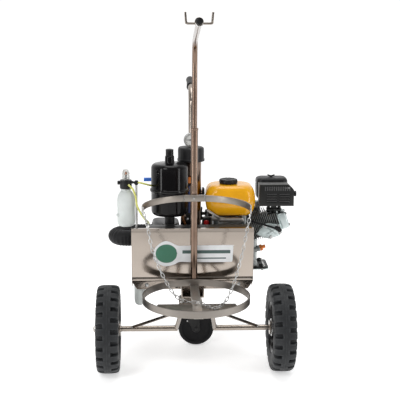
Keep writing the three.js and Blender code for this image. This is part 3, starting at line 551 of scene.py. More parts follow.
for x in (-134, -58):
    for y in (196, 300):
        deck_bolts.bolt((x, y, 300), Z, 11, 6)
deck_bolts.piece("deck_bolts", ZINC)
dress(STAINLESS, "spine_channel", bevel=0.5)

PX, PY, PZ = span("front_panel")
FACE = PY[0]


def panel_sheet():
    """The face is a fine grid with the slow waves that sheet steel has, so its reflections wander."""
    columns, rows = 60, 28
    bm = bmesh.new()
    grid = []
    for j in range(rows + 1):
        z = PZ[0] + 12 + (PZ[1] - PZ[0] - 24) * j / rows
        line = []
        for i in range(columns + 1):
            x = PX[0] + 1.2 + (PX[1] - PX[0] - 2.4) * i / columns
            edge = min(1.0, min(i, columns - i, j, rows - j) / 5)
            wave = 0.32 * sin(x * 0.021 + 0.8) * sin(z * 0.034)
            wave += 0.1 * sin(x * 0.05 + z * 0.03)
            line.append(bm.verts.new((x, FACE + 0.35 + wave * edge, z)))
        grid.append(line)
    for a, b in zip(grid, grid[1:]):
        for i in range(columns):
            bm.faces.new((a[i], a[i + 1], b[i + 1], b[i]))
    return bm


panel = Shape().merge(panel_sheet())
low, high = PZ[0], PZ[1]
fold = [(FACE + 3, TOP + 0.6), (FACE + 10, TOP + 0.6), (FACE + 10, low + 3), (FACE + 2, low + 3),
    (FACE + 2, high - 2), (FACE + 11, high - 2), (FACE + 11, high - 12), (FACE + 13, high - 12),
    (FACE + 13, high), (FACE + 0.4, high), (FACE + 0.4, high - 12), (FACE + 0.35, high - 12.2),
    (FACE + 1.0, high - 12.4), (FACE + 1.0, low + 12.4), (FACE + 0.35, low + 12.2), (FACE + 0.4, low),
    (FACE + 3, low)]
panel.prism(fold, PX[0], PX[1], "yz", 0.25, 1)
panel.piece("panel_sheet", MIRROR, ROOT, "front_panel")
seam = Shape().box((PX[0] + 1, PX[1] - 1), (FACE - 0.1, FACE + 0.6), (high - 3.4, high - 2.6), 0.1, 1)
seam.piece("panel_hem_line", STAINLESS)


def outline_of(points, per_span=6):
    """A closed smooth outline through (x, z) points."""
    path = smooth_path([(x, 0, z) for x, z in points] + [(points[0][0], 0, points[0][1])], per_span)
    return [(p.x, p.z) for p in path[:-1]]


# A plain sticker: a green oval with a blank white border, and a white band with two plain stripes.
border = [(-133, 360), (-126, 380), (-108, 396), (-90, 402), (-72, 396), (-56, 388), (-40, 386), (20, 387),
    (122, 387.6), (127, 384), (127, 368), (126, 350), (124, 334), (110, 331), (0, 331), (-46, 332),
    (-64, 324), (-90, 318), (-112, 324), (-127, 340)]
oval = [(-90 + 35 * cos(radians(a)), 360 + 31 * sin(radians(a))) for a in range(0, 360, 30)]
Shape().prism(outline_of(border), FACE - 0.35, FACE + 0.2).piece("label_border", WHITE_PRINT)
Shape().prism(outline_of(oval), FACE - 0.5, FACE - 0.3).piece("label_oval", GREEN_PRINT)
bands = Shape()
for x0, x1, z0, z1 in ((-38, 118, 360, 371), (-10, 104, 342, 346)):
    bands.box((x0, x1), (FACE - 0.45, FACE - 0.3), (z0, z1), 0.0)
bands.piece("label_stripes", GREY_PRINT)

# ---- pail hoops ----
RX, RY, RZ = span("lower_ring")
RC = ((RX[0] + RX[1]) / 2, (RY[0] + RY[1]) / 2)
RR = (RX[1] - RX[0]) / 2
# The lower hoop takes the darker stainless copy: painted shade on its front band.
Shape().lathe([(RR - 3.6, RZ[0]), (RR - 0.6, RZ[0]), (RR, RZ[0] + 0.6), (RR, RZ[1] - 0.6), (RR - 0.6, RZ[1]),
    (RR - 3.6, RZ[1]), (RR - 4, RZ[1] - 0.5), (RR - 4, RZ[0] + 0.5), (RR - 3.6, RZ[0])], (RC[0], RC[1], 0),
    Z, 192).piece("lower_hoop", SHADED_STAINLESS, ROOT, "lower_ring")
UZ = span("upper_ring")[2]
band = rounded_rectangle(1.9, (UZ[1] - UZ[0] - 1) / 2, 0.7, 16)
upper = Shape().sweep(arc_path(RC, RR - 2, -12, 192, 120, UZ[0] + 10), 0, section=band)
upper.box((RC[0] - 32, RC[0] + 32), (RC[1] + RR - 9.6, RC[1] + RR - 0.2), (UZ[0], UZ[1]), 1.2, 3)
upper.piece("upper_hoop", SATIN, ROOT, "upper_ring")
welds = Shape()
for x in (RC[0] - 33, RC[0] + 33):
    welds.weld([(x, RC[1] + RR - 9, z) for z in (UZ[0] + 1, UZ[0] + 10, UZ[1] - 1)], 1.5)
welds.lathe([(0, 0), (4, 0), (3.4, 1.2), (1.5, 2), (0, 2.1)], (RC[0] - 2, RC[1] + RR - 9.4, UZ[0] + 11), -Y,
    24)
welds.weld([(RC[0] - 13, RC[1] + RR - 5, RZ[0] + 2), (RC[0] - 13, RC[1] + RR - 5, RZ[0] + 9)], 1.5)
welds.weld([(RC[0] - 13, RC[1] - RR + 6, RZ[0] + 2), (RC[0] + 13, RC[1] - RR + 6, RZ[0] + 2)], 1.5)
welds.weld(arc_path((RC[0], 78), 12.4, 0, 350, 16, TOP + 0.8), 1.4)
welds.piece("hoop_welds", ZINC, slot="stainless")

front_y, rear_y = RC[1] - RR + 4, RC[1] + RR - 4
channel = Shape().box((RC[0] - 14, RC[0] + 14), (front_y + 2, rear_y - 2), (258, 264), 1.2, 3)
tray_r = RR - 4.6
tray_reach = asin(128 / tray_r)
tray = [(RC[0] + tray_r * sin(a), RC[1] - tray_r * cos(a)) for a in [tray_reach * (k / 20 - 1)
    for k in range(41)]]
channel.piece("centre_channel", PALE_STEEL, ROOT, "centre_bar", slot="stainless")
plate = Shape().prism(tray + [(RC[0] + 118, -130), (RC[0] - 118, -130)], 259, 262.8, "xy", 0.5)
plate.piece("front_segment_plate", SATIN)

# ---- chain of welded links, hooked to the upper hoop's two ends ----
hook_x = (RR - 2) * cos(radians(12))
hook_y = RC[1] - (RR - 2) * sin(radians(12)) - 8
hang = smooth_path([(RC[0] - hook_x, hook_y + 5, 548), (-148, hook_y - 4, 510), (-133, hook_y - 7, 432),
    (-104, hook_y - 9, 360), (-72, hook_y - 9, 303), (-46, hook_y - 5, 280), (-20, -142, 272),
    (8, -146, 272), (31, -172, 268), (54, -190, 268), (80, -160, 275), (97, -151, 299), (113, -150, 343),
    (132, -149, 418), (142, hook_y - 5, 465), (RC[0] + hook_x, hook_y + 5, 550)], 24)


def even_points(path, pitch):
    out, carry = [path[0]], 0.0
    for a, b in zip(path, path[1:]):
        d = (b - a).length
        while carry + d >= pitch:
            a = a.lerp(b, (pitch - carry) / d)
            out.append(a)
            d, carry = (b - a).length, 0.0
        carry += d
    return out


LINK_PITCH, LINK_HALF, LINK_WIRE = 13.8, 4.0, 1.3
links = Shape()
stops = even_points(hang, LINK_PITCH)
for k, (a, b) in enumerate(zip(stops, stops[1:])):
    t = (b - a).normalized()
    u = t.cross(Y if abs(t.y) < 0.9 else X).normalized()
    u = Matrix.Rotation(radians((90 if k % 2 else 0) + 14 * sin(k * 2.1)), 3, t) @ u
    mid, half = (a + b) / 2, LINK_PITCH / 2 + LINK_WIRE - LINK_HALF
    loop = []
    for q in range(16):
        ang = 2 * pi * (q + 0.5) / 16
        shift = half if cos(ang) > 0 else -half
        loop.append(mid + t * (shift + LINK_HALF * cos(ang)) + u * LINK_HALF * sin(ang))
    links.sweep(loop, LINK_WIRE, 8, closed=True)
for x in (RC[0] - hook_x, RC[0] + hook_x):
    hook = [(x, hook_y + dy, z) for dy, z in ((4, 544), (1, 556), (8, 562), (15, 556), (12, 546))]
    links.sweep(smooth_path(hook, 6), 1.6, 10)
links.piece("chain_links", ZINC, ROOT, "chain", sharp=60)

# ---- mast, boom and hose rest ----
MAST = Vector((RC[0], 78, 0))
# Mast, boom and filter tube use the darkened tube stainless: painted reflection.
Shape().lathe([(9, 229), (10.6, 229), (11, 229.5), (11, 765), (12.2, 766), (12.5, 767), (12.5, 771.4),
    (12, 772), (9, 772), (9, 229)], MAST, Z, 56).piece("mast_tube", TUBE, ROOT, "mast")
tip = Vector((-15, -520, 1104))
knee = Vector((MAST.x, MAST.y, 1040))
reach = (tip - knee).normalized()
BEND = 90
bend = [knee - Z * BEND, knee + reach * BEND]
curve = [bend[0].lerp(knee, t).lerp(knee.lerp(bend[1], t), t) for t in [k / 16 for k in range(17)]]
path = [Vector((MAST.x, MAST.y, z)) for z in (690, 760, 860, 930)] + curve + [knee + reach * d
    for d in (120, 260, 420)] + [tip]
Shape().sweep(path, 8.4, 40).piece("boom_tube", TUBE, "boom", "boom")
Shape().lathe([(0, 0.4), (8.6, 0.4), (9, 0.9), (9, 5.4), (8.4, 6), (7.6, 6.2), (7.2, 8.6), (6.4, 9), (0, 9)],
    tip, reach, 40).piece("boom_end_plug", BLACK_PLASTIC, "boom", "boom_plug")
fork_at = tip - reach * 14
fork = [(-36.5, 24), (-34.5, -3), (-33, -5.4), (-28.5, -6.5), (28.5, -6.5), (33, -5.4), (34.5, -3),
    (36.5, 24), (31.5, 24), (29.5, 0.6), (28, -1), (-28, -1), (-29.5, 0.6), (-31.5, 24)]
rest = Shape().prism([(fork_at.x + u, fork_at.z + v) for u, v in fork], tip.y + 4, tip.y + 24, bevel=1.2,
    segs=3)
rest.lathe([(8.8, 0), (10.6, 0), (11, 0.5), (11, 11.5), (10.6, 12), (8.8, 12), (8.8, 0)], tip - reach * 20,
    reach, 40)
rest.piece("hose_fork_bar", STAINLESS, "boom", "hose_fork")
under_boom = [fork_at + Vector((9.5 * cos(a), -10.5, 9.5 * sin(a) - 1))
    for a in [radians(d) for d in range(190, 351, 16)]]
Shape().weld(under_boom, 1.3).piece("fork_weld", ZINC, "boom", slot="stainless")

# ---- push handle ----
HX, HY = 3, 425
stem = smooth_path([(HX, HY, TOP + 4), (HX, HY, 560), (HX, HY + 3, 780), (HX, HY + 20, 838),
    (HX, HY + 60, 868), (HX, HY + 175, 884)], 14)
handle = Shape().sweep(stem, 11, 32).box((HX - 30, HX + 30), (HY - 14, HY + 14), (TOP + 0.4, TOP + 7), 1.2, 3)
handle.piece("handle_tube", STAINLESS, ROOT, "handle_stem")
Shape().weld(arc_path((HX, HY), 12.5, 0, 350, 16, TOP + 8), 1.5).piece("handle_weld", ZINC, slot="stainless")
bolt_set("handle_bolts", [(HX + dx, HY, TOP + 7) for dx in (-22, 22)], Z, 9, 5)
grip_start, grip_end = Vector((HX, HY + 72, 869.7)), Vector((HX, HY + 186, 885.6))
grip_length = (grip_end - grip_start).length
rings = [(0, -3), (12, -3), (15.4, -2), (16, 0), (15.6, 2.4)]
for k in range(9):
    h = 7 + k * (grip_length - 20) / 9
    slim = 1 - 0.14 * k / 8
    rings += [(slim * u, h + v) for u, v in ((13.6, 0), (14.5, 2), (14.7, 5), (14.5, 7.5), (13.6, 9))]
rings += [(13.6, grip_length - 2), (14, grip_length), (13.4, grip_length + 1.6), (10, grip_length + 2.2),
    (0, grip_length + 2.2)]
Shape().lathe(rings, grip_start, grip_end - grip_start, 48).piece("handle_grip_ribbed", BLACK_PLASTIC, ROOT,
    "handle_grip")

# ---- engine ----
CRANK = Vector((126, 255, 372))
CRANK_LINE = (CRANK.x, 0, CRANK.z)
TILT = radians(19)
ON_CYLINDER = turned(CRANK, -TILT)


def on_cylinder(a, y, z):
    """A point given along the cylinder's centreline, across it and above it."""
    return ON_CYLINDER @ Vector((a, y - CRANK.y, z))


ALONG = (ON_CYLINDER.to_3x3() @ X).normalized()
dress(DARK_CAST, "cylinder_head", bevel=0.4)
fins = Shape()
for k in range(15):
    a = 82 + k * 6.3
    high, low = (56, -30) if a < 148 else (42, -28)
    fins.box((a - 0.9, a + 0.9), (-41, 46), (low, high), 0.5, 1, ON_CYLINDER)
fins.piece("cooling_fins", FIN_CAST, ROOT, "crankcase", slot="cast_alloy")
# The barrel is near-black so the gaps between the fins read dark: painted shade.
Shape().box((40, 176), (-33, 36), (-24, 40), 2, 2, ON_CYLINDER).piece("cylinder_barrel", DARK_CAST)
block = Shape().box((66, 206), (192, 325), (TOP + 7, 432), 14, 4)
block.prism([(150, TOP + 8), (222, TOP + 8), (222, TOP + 26), (204, TOP + 44), (150, TOP + 44)], 226, 322,
    bevel=3, segs=2)
block.box((170, 221), (232, 312), (296, 408), 10, 4)
block.lathe([(0, 180), (40, 180), (44, 184), (44, 192), (0, 192)], CRANK_LINE, Y, 64)
for x in (70, 165):
    block.box((x, x + 14), (205, 300), (425, 462), 2, 2)
block.piece("crankcase_block", CAST)
cover = Shape().box((178, 209), (-29, 39), (-26, 32), 8, 5, ON_CYLINDER)
cover.box((176.6, 180.5), (-31, 41), (-28, 34), 1.6, 3, ON_CYLINDER)
cover.piece("rocker_cover", PALE_CAST, ROOT, "valve_cover")
corners = [on_cylinder(208.6, CRANK.y + dy, dz) for dy in (-20, 30) for dz in (-17, 23)]
bolt_set("rocker_bolts", corners, ALONG, 7, 2.6)
plug = Shape().rod(on_cylinder(160, CRANK.y - 33, -4), on_cylinder(168, CRANK.y - 52, -12), 9, 24, 1)
plug.rod(on_cylinder(165, CRANK.y - 45, -9), on_cylinder(171, CRANK.y - 64, -16), 7.4, 24, 2)
lead = smooth_path([on_cylinder(170, 194, -15), on_cylinder(160, 186, -4), on_cylinder(132, 184, 18),
    on_cylinder(100, 190, 40), on_cylinder(84, 210, 55)], 8)
plug.sweep(lead, 3.4, 16).piece("spark_plug_lead", RUBBER)

# The smooth casting under the fins covers the lower half of the cylinder, with a raised cross on its face.
cowl = Shape()
under = [(212, 396), (236, 427), (256, 433), (292, 429), (303, 408), (296, 392), (262, 379), (236, 384)]
cowl.prism(under, 208, 290, bevel=3, segs=3)
for lean in (0.62, -0.5):
    cowl.box((-21, 21), (-1.4, 2), (-1.8, 1.8), 1.0, 2, turned((268, 207.4, 406), lean))
cowl.piece("lower_cover", PALE_CAST)
corners = [(x, 208, z) for x, z in ((244, 424), (288, 422), (294, 402), (264, 386))]
bolt_set("lower_cover_bolts", corners, -Y, 7, 3)
case = Shape()
for k in range(8):
    a = 2 * pi * k / 8 + 0.3
    case.bolt(CRANK + Vector((41 * cos(a), -71, 41 * sin(a))), -Y, 8, 4)
for x, z in ((80, 300), (80, 418), (182, 300), (182, 418), (131, 292)):
    case.bolt((x, 190, z), -Y, 10, 5)
case.bolt((222, 296, 452), -Y, 8, 4).bolt((214, 303, 470), -Y, 7, 3)
case.rod((205, 300, 444), (246, 300, 436), 2, 12).rod((226, 299, 436), (226, 299, 476), 2.4, 12)
case.piece("engine_bolts", ZINC)
neck_at, neck_dir = Vector((190, 236, 327)), Vector((0.94, 0, 0.34))
neck = Shape().lathe([(0, 0), (8.6, 0), (9, 1), (9, 36), (10.5, 37), (10.5, 41), (9.5, 42), (0, 42)],
    neck_at, neck_dir, 36)
neck.rod((150, 188, 306), (150, 182, 306), 8, 24, 1).piece("oil_neck", CAST)
oil_at = neck_at + neck_dir * 42.5


def flutes(count, depth):
    return lambda r, h, a: r - depth * max(0.0, cos(a * count)) ** 2 * (1 if r > 4 else 0)


Shape().lathe([(0, 0), (10.4, 0), (11, 0.8), (11, 8), (10.2, 9), (6.4, 9.2), (6.2, 18.6), (5.4, 20),
    (0, 20)], oil_at, neck_dir, 60, flutes(5, 0.9)).piece("oil_plug", ORANGE, "oil_lid", "oil_cap")


def foot_outline(grow, corner):
    return [(157.5 + u, 272.5 + v) for u, v in rounded_rectangle(102.5 + grow, 52.5 + grow, corner, 40)]


plate = Shape().prism(foot_outline(0, 14), TOP + 0.4, TOP + 9, "xy", 1.2, 3)
for y in (236, 308):
    plate.bolt((236, y, TOP + 9), Z, 13, 7)
plate.piece("engine_foot", DARK_CAST)
Shape().prism(foot_outline(1.5, 15), TOP + 0.4, TOP + 4, "xy", 0.8, 2).piece("foot_gasket", PALE_CAST)

dress(BLACK_SATIN, "muffler", "muffler_guard", bevel=0.7)
GUARD_FRONT = span("muffler_guard")[1][0]
# The louvre lips are lighter than the guard to show glints: painted highlight.
lips = Shape()
for x in (249, 292):
    for z in (503, 511, 519, 527):
        lips.box((x, x + 34), (GUARD_FRONT - 2.6, GUARD_FRONT + 1), (z + 2.9, z + 4.3), 0.5)
for i in range(12):
    lips.box((242.4 + i * 7.5, 245.4 + i * 7.5), (GUARD_FRONT - 2, GUARD_FRONT + 1), (543, 556), 0.6)
lips.piece("guard_louvre_lips", DARK_EDGE)
pipe = Shape().lathe([(7, -18), (9, -18), (9, 26), (9.6, 27), (9.6, 28.4), (8.4, 29), (7, 28.4), (7, -18)],
    (325, 262, 525), X, 40)
pipe.piece("exhaust_outlet", BLACK_SATIN)
flange = Shape().box((253, 301), (234, 266), (470, 477), 1.6, 3)
for x in (259, 295):
    flange.bolt((x, 250, 477), Z, 10, 6).bolt((x, 250, 470), -Z, 10, 5)
flange.sweep(smooth_path([(277, 250, 500), (277, 250, 470), (273, 251, 452), (262, 252, 438)], 8), 10, 28)
flange.piece("exhaust_flange", DARK_CAST)

AIR = (276.5, 326)
air = Shape().loft([(503, 50, 33, 14, *AIR), (505, 52, 34.6, 16, *AIR), (520, 53.2, 35.6, 17, *AIR),
    (548, 53.5, 36, 17, *AIR), (549, 51.8, 34.4, 16, *AIR), (551, 51.8, 34.4, 16, *AIR),
    (552, 53.5, 36, 17, *AIR), (562, 53.3, 35.8, 18, *AIR), (568, 51, 33.6, 18, *AIR),
    (571.4, 46, 29, 16, *AIR), (572, 40, 24, 14, *AIR)])
for k in range(5):
    air.box((244 + k * 16, 247 + k * 16), (290.2, 294), (510, 544), 0.8)
air.box((232, 262), (296, 340), (488, 506), 3, 3)
air.piece("air_cleaner_case", BLACK_PLASTIC, ROOT, "air_cleaner")
wing = Shape().lathe([(0, 0.4), (5, 0.4), (5, 4.6), (4, 6), (0, 6)], (275, 326, 572), Z, 28)
ear = [(3, 574), (6, 574), (12.6, 577.4), (12.8, 580.4), (10, 581), (3, 578)]
for sign in (-1, 1):
    wing.prism([(275 + sign * u, v) for u, v in ear], 324.6, 327.4, bevel=0.8)
wing.piece("cleaner_wing", BLACK_PLASTIC, "cleaner_nut", "wing_nut")

dress(CAST, "carburettor", bevel=1.2)
carb = Shape().rod((222, 322, 425), (222, 322, 418), 5, 6)
carb.bolt((222, 304, 470), -Y, 8, 4).bolt((232, 304, 452), -Y, 6, 3)
coil = [(204 - k * 0.24, 334 + 3 * cos(k * 0.62), 482 + 3 * sin(k * 0.62)) for k in range(90)]
carb.sweep(coil, 0.7, 6).rod((204, 337, 482), (182, 352, 482), 1.3, 10)
carb.sweep(smooth_path([(206, 312, 458), (194, 306, 452), (180, 304, 456), (168, 308, 466)], 8), 1.3, 8)
carb.piece("carburettor_linkage", ZINC)
dress(BLACK_PLASTIC, "throttle_lever", bevel=0.6)
fuel_line = smooth_path([(214, 318, 452), (200, 306, 448), (182, 296, 446), (160, 300, 450),
    (150, 302, 454)], 8)
Shape().sweep(fuel_line, 3.2, 16).piece("fuel_hose", RUBBER)
brackets = Shape()
brackets.box((60, 104), (196, 199), (446, 458), 0.8).box((60, 64), (196, 214), (424, 458), 0.8)
brackets.prism([(44, 484), (51, 487), (94, 457), (87, 452)], 186, 189, bevel=0.8)
brackets.box((86, 164), (190, 214), (442, 456), 1.6)
for x in (98, 118, 164):
    brackets.bolt((x, 192, 450), -Y, 7, 3)
brackets.piece("tank_bracket", PALE_STEEL)

TZ = span("fuel_tank")[2]
TANK = (126.5, 254)
tank = [(TZ[0], 0.74, 22), (TZ[0] + 1.4, 0.79, 26), (TZ[0] + 4.6, 0.845, 30), (TZ[0] + 10, 0.90, 34),
    (TZ[0] + 20, 0.95, 37), (TZ[0] + 32, 0.985, 38), (506, 0.994, 38), (508.4, 0.992, 38), (509, 1.0, 39),
    (513, 1.0, 39), (513.6, 0.992, 38), (524, 0.985, 38), (535, 0.968, 38), (544, 0.94, 38),
    (551.5, 0.90, 38), (557, 0.845, 37), (560.6, 0.775, 35), (562.4, 0.69, 32), (562.8, 0.58, 28),
    (563, 0.4, 22)]
lofted = Shape().loft([(z, 84 * k, 70 * k, c, *TANK) for z, k, c in tank], 96)
lofted.lathe([(18, 558), (23, 558), (24, 560), (24, 567), (22, 568), (18, 568), (18, 558)], (121, 250, 0), Z,
    48)
lofted.piece("petrol_tank", YELLOW, ROOT, "fuel_tank", sharp=50)
Shape().lathe([(24.4, 564.4), (29.4, 564.4), (30.6, 566), (31, 568), (31, 574), (30, 577), (27.6, 578.6),
    (22, 578.8), (20.6, 577.6), (9, 577.6), (7, 579), (0, 579), (0, 568.4), (24.4, 568.4), (24.4, 564.4)],
    (121, 250, 0), Z, 144, lambda r, h,
    a: r - (1.6 if cos(a * 12) > 0.3 and r > 26 and h > 567 else 0)).piece("petrol_cap", BLACK_PLASTIC,
    "fuel_lid", "fuel_cap", sharp=30)

fan = Shape().lathe([(60, 326), (90, 326), (92, 328), (92, 384), (90, 388), (84, 389), (82, 388), (60, 388),
    (60, 326)], CRANK_LINE, Y, 96)
fan.lathe([(0, 384), (82, 386), (82, 389), (70, 420), (66, 424), (56, 430), (40, 432), (0, 432)], CRANK_LINE,
    Y, 96)
fan.box((CRANK.x - 70, CRANK.x + 76), (326, 372), (CRANK.z + 40, CRANK.z + 80), 8, 4)
for lug_x in (58, 144):
    fan.box((lug_x - 8, lug_x + 8), (384, 408), (416, 440), 2, 3)
fan.box((52, 150), (388, 404), (436, 442), 1.5, 3)
fan.piece("fan_cover", SHROUD, ROOT, "fan_housing")
slots = Shape()
for k in range(24):
    slots.box((30, 50), (431.2, 432.4), (-1.6, 1.6), 0.5, 2, turned(CRANK_LINE, 2 * pi * k / 24))
slots.lathe([(10, 432), (16, 432), (16, 433), (10, 433), (10, 432)], CRANK_LINE, Y, 40)
slots.piece("recoil_slots", RUBBER)
bolt_set("fan_bolts", six_round(CRANK.x, 388, CRANK.z, 86, 20), Y, 8, 4)
cord_at = Vector((0, 396, 428))
grip = Shape().rod(cord_at + X * 48, cord_at + X * 140, 2.3, 16).rod(cord_at + X * 40, cord_at + X * 50, 6,
    24, 1)
grip.lathe([(0, -24), (5.5, -24), (8, -21), (7, -12), (6.6, 0), (7, 12), (8, 21), (5.5, 24), (0, 24)],
    cord_at + X * 34, Z, 32)
grip.piece("recoil_handle", BLACK_PLASTIC, "recoil", "recoil_grip")
switch = Shape().lathe([(0, 0), (8.6, 0), (9, 0.6), (9, 6), (8, 7), (0, 7)], (46, 215.6, 436), -Y, 40)
switch.box((43, 49), (202, 210), (428, 444), 1.6, 3).piece("stop_switch", RED, "ignition", "engine_switch")
Shape().box((32, 66), (216.4, 240), (420, 452), 3, 3).piece("switch_box", BLACK_PLASTIC)
carrier = Shape().box((26, 180), (168, 188), (412, 435), 3, 3)
carrier.box((30, 176), (165, 170), (416, 430), 1.5, 3).piece("cable_shelf", BLACK_SATIN)

# ---- belt drive ----
for name, body, r in (("engine_pulley", "engine_drive", 36), ("pump_pulley", "pump_drive", 52)):
    c = middle(name)
    c = Vector((c.x, 138, c.z))
    shaft_end = span(name)[1][1] - 138
    profile = [(0, -9), (r + 4.6, -9), (r + 5, -8.6), (r + 5, -7.2), (r + 0.4, -6), (r, -5), (r, 5),
        (r + 0.4, 6), (r + 5, 7.2), (r + 5, 8.6), (r + 4.6, 9), (22, 9), (22, 14), (20.5, 15), (10, 15),
        (10, shaft_end), (0, shaft_end)]
    Shape().lathe(profile, c, Y, 72).bolt(c - Y * 9, -Y, 13, 6).piece(name + "_turned", CAST, body, name)
dress(RUBBER, "drive_belt", bevel=0.8)
BX, BY, BZ = span("belt_guard")
guard = Shape().box(BX, (BY[0], BY[0] + 3), BZ, 1.2, 3)
for x in ((BX[0], BX[0] + 3), (BX[1] - 3, BX[1])):
    guard.box(x, (BY[0] + 1, BY[1]), BZ, 1.0, 3)
for z0, z1 in ((BZ[0], BZ[0] + 3), (BZ[1] - 3, BZ[1])):
    guard.box((BX[0] + 1, BX[1] - 1), (BY[0] + 1, BY[1]), (z0, z1), 1.0, 3)
guard.piece("belt_guard_box", BLACK_SATIN, ROOT, "belt_guard")

# ---- pump, canister and filter ----
pump = Shape().loft([(292, 42, 70, 16, -91, 249), (296, 45, 73, 20, -91, 249), (424, 45, 73, 20, -91, 249),
    (430, 42, 70, 18, -91, 249), (432, 38, 66, 16, -91, 249)], 64)
pump.box((-142, -48), (186, 310), (TOP + 0.4, 298), 5, 3)
for k in range(6):
    pump.box((-138, -44), (190 + k * 21, 193 + k * 21), (306, 420), 1.2, 2)
pump.lathe([(0, 0), (32, 0), (34, 2), (34, 6), (0, 6)], (-79, 178, 366), -Y, 56)
pump.lathe([(0, 424), (20, 424), (20, 431), (16.5, 433), (16.5, 469.6), (0, 469.6)], (-78, 190, 0), Z, 48)
pump.lathe([(0, 428), (25, 428), (26, 429), (26, 439), (25, 440), (0, 440)], (-78, 190, 0), Z, 6)
pump.piece("pump_housing", PUMP_PAINT, ROOT, "pump_body")
bolt_set("pump_bolts", six_round(-79, 172, 366, 28), -Y, 7, 3)
CAN = Vector((-78, 190, 470))
can = [(14, 0), (16.5, 0), (46, 0.5), (53, 2), (58, 6), (60.4, 11), (61, 15), (61, 76), (61.8, 78), (64, 80),
    (64.5, 82), (64.5, 86.5), (64, 88.4), (61.8, 90), (61, 92), (61, 158), (60.4, 162), (58, 167), (53, 171),
    (46, 172.6), (19, 173), (16.5, 174), (15.4, 176), (15.2, 194), (14.4, 196), (13, 197), (13, 200),
    (13.2, 201), (12.6, 203), (13.2, 205), (12.6, 207), (13.2, 209), (12.6, 211), (13, 213), (13, 218),
    (12, 219), (8, 219), (8, 150), (0, 150)]
Shape().lathe(can, CAN, Z, 112).piece("canister_shell", BLACK_GLOSS, ROOT, "canister")
can_seam = Shape().lathe([(62.6, 84), (65, 84), (65, 85), (62.6, 85), (62.6, 84)], CAN - Z * 0.2, Z, 112)
can_seam.piece("canister_seam", BLACK_SATIN)
FX, FY = -5, 264
filter_tube = Shape().lathe([(0, 290), (18, 290), (27, 297), (32, 306), (34.6, 314), (35, 320), (35, 632),
    (34.4, 638), (30, 638), (30, 664), (0, 664)], (FX, FY, 0), Z, 72)
filter_tube.rod((FX, FY, TOP + 0.4), (FX, FY, 292), 15, 40)
filter_tube.rod((-11, FY - 31, 578), (-11, 218, 578), 7, 28, 0.6).rod((FX - 29, FY, 560), (-84, FY + 4, 560),
    9, 32, 0.8)
filter_tube.rod((FX + 29, FY, 531), (33, FY, 531), 9, 32, 0.6)
filter_tube.piece("filter_cylinder", TUBE, ROOT, "filter_body")
Shape().lathe([(0, 31), (30.4, 31), (30.4, 1), (45, 1), (46, 1.8), (46, 8), (45, 9), (44.2, 9.4), (44, 11),
    (44, 41), (43, 44.6), (40, 47.4), (36, 48), (0, 48)], (FX, FY, 638), Z, 96, lambda r, h,
    a: r - (0.9 if r > 42 and 10 < h < 43 and cos(a * 24) > 0.5 else 0)).piece("filter_lid_cap",
    BLACK_PLASTIC, "filter_lid", "filter_cap", sharp=30)
Shape().lathe([(0, 0), (9, 0), (9, 7), (8, 8), (0, 8)], (FX, FY, 686), Z, 6).piece("gauge_adapter", ZINC,
    "filter_lid")
Shape().lathe([(0, 0), (16, 0), (17, 1), (17, 5), (16, 6), (14, 6), (13.6, 7.6), (12.6, 8), (0, 8)],
    (33.4, FY, 531), X, 72, flutes(12, 0.7)).piece("pressure_dial_knob", BLACK_PLASTIC, "pressure_control",
    "pressure_knob")
dress(BLUE, "relief_valve_handle", bevel=1.2)
dress(ORANGE, "drain_valve_handle", bevel=1.0)

return_path = smooth_path([(-14, 222, 560), (-13, 218, 540), (-12, 214, 505), (-13, 212, 470),
    (-16, 214, 446)], 10)
Shape().sweep(return_path, 4, 20).piece("blue_return_tube", NAVY)
drain_path = smooth_path([(-36, 214, 466), (-33, 212, 452), (-28, 212, 438), (-24, 214, 428)], 10)
Shape().sweep(drain_path, 4, 20).piece("amber_drain_tube", BROWN_TUBE)
elbow = Shape().sweep(smooth_path([(-14, 214, 470), (-12, 212, 452), (-12, 212, 438), (-12, 214, 424)], 10),
    9.5, 28)
elbow.lathe([(8, -5), (12.5, -5), (12.5, 5), (8, 5), (8, -5)], (-13, 213, 462), Z, 6).rod((-12, 214, 440),
    (10, 216, 440), 7, 24, 1)
elbow.piece("return_elbow", BLACK_PLASTIC)
Shape().lathe([(0, 0), (3.4, 0), (3, 1), (0, 1.2)], (-17, 203.4, 452), -Y, 24).piece("elbow_mark",
    WHITE_PRINT)
relief = Shape().rod((-70, 268, 560), (-70, 268, 542), 8, 24, 1).rod((-72, 268, 544), (-72, 268, 432), 6, 24)
relief.piece("relief_pipe", ZINC)

# ---- gauge: case, dial with ticks and needle ----
G = Vector((-8, FY - 8, 711))
rim = Shape().lathe([(19.4, 12.2), (21.6, 12.6), (22.4, 11.4), (22.4, 7), (21.8, 6), (21.8, -10),
    (20.4, -12), (0, -12), (0, 3), (19.4, 3), (19.4, 12.2)], G, -Y, 72)
rim.rod((G.x, G.y, 686.4), (G.x, G.y, 694), 6, 6).piece("gauge_case", ZINC, "filter_lid", "gauge")
Shape().lathe([(0, 3.2), (19.3, 3.2), (19.3, 4.4), (0, 4.4)], G, -Y, 64).piece("gauge_dial", DIAL,
    "filter_lid")
ticks = Shape()
for k in range(26):
    inner_end = 12.8 if k % 5 == 0 else 15
    ticks.box((-0.32, 0.32), (-4.75, -4.3), (inner_end, 17.6), 0.0, 1, turned(G, radians(-125 + 10 * k)))
ticks.piece("gauge_ticks", BLACK_PLASTIC, "filter_lid")
needle = Shape().lathe([(0, 0), (2.4, 0), (2, 1.6), (0, 2)], G - Y * 7, -Y, 24)
needle.prism([(G.x - 14.5, G.z - 0.3), (G.x + 5, G.z - 1.2), (G.x + 5, G.z + 1.2), (G.x - 14.5, G.z + 0.3)],
    G.y - 8.6, G.y - 7.8)
needle.piece("gauge_pointer", BLACK_PLASTIC, "needle", "gauge_needle")

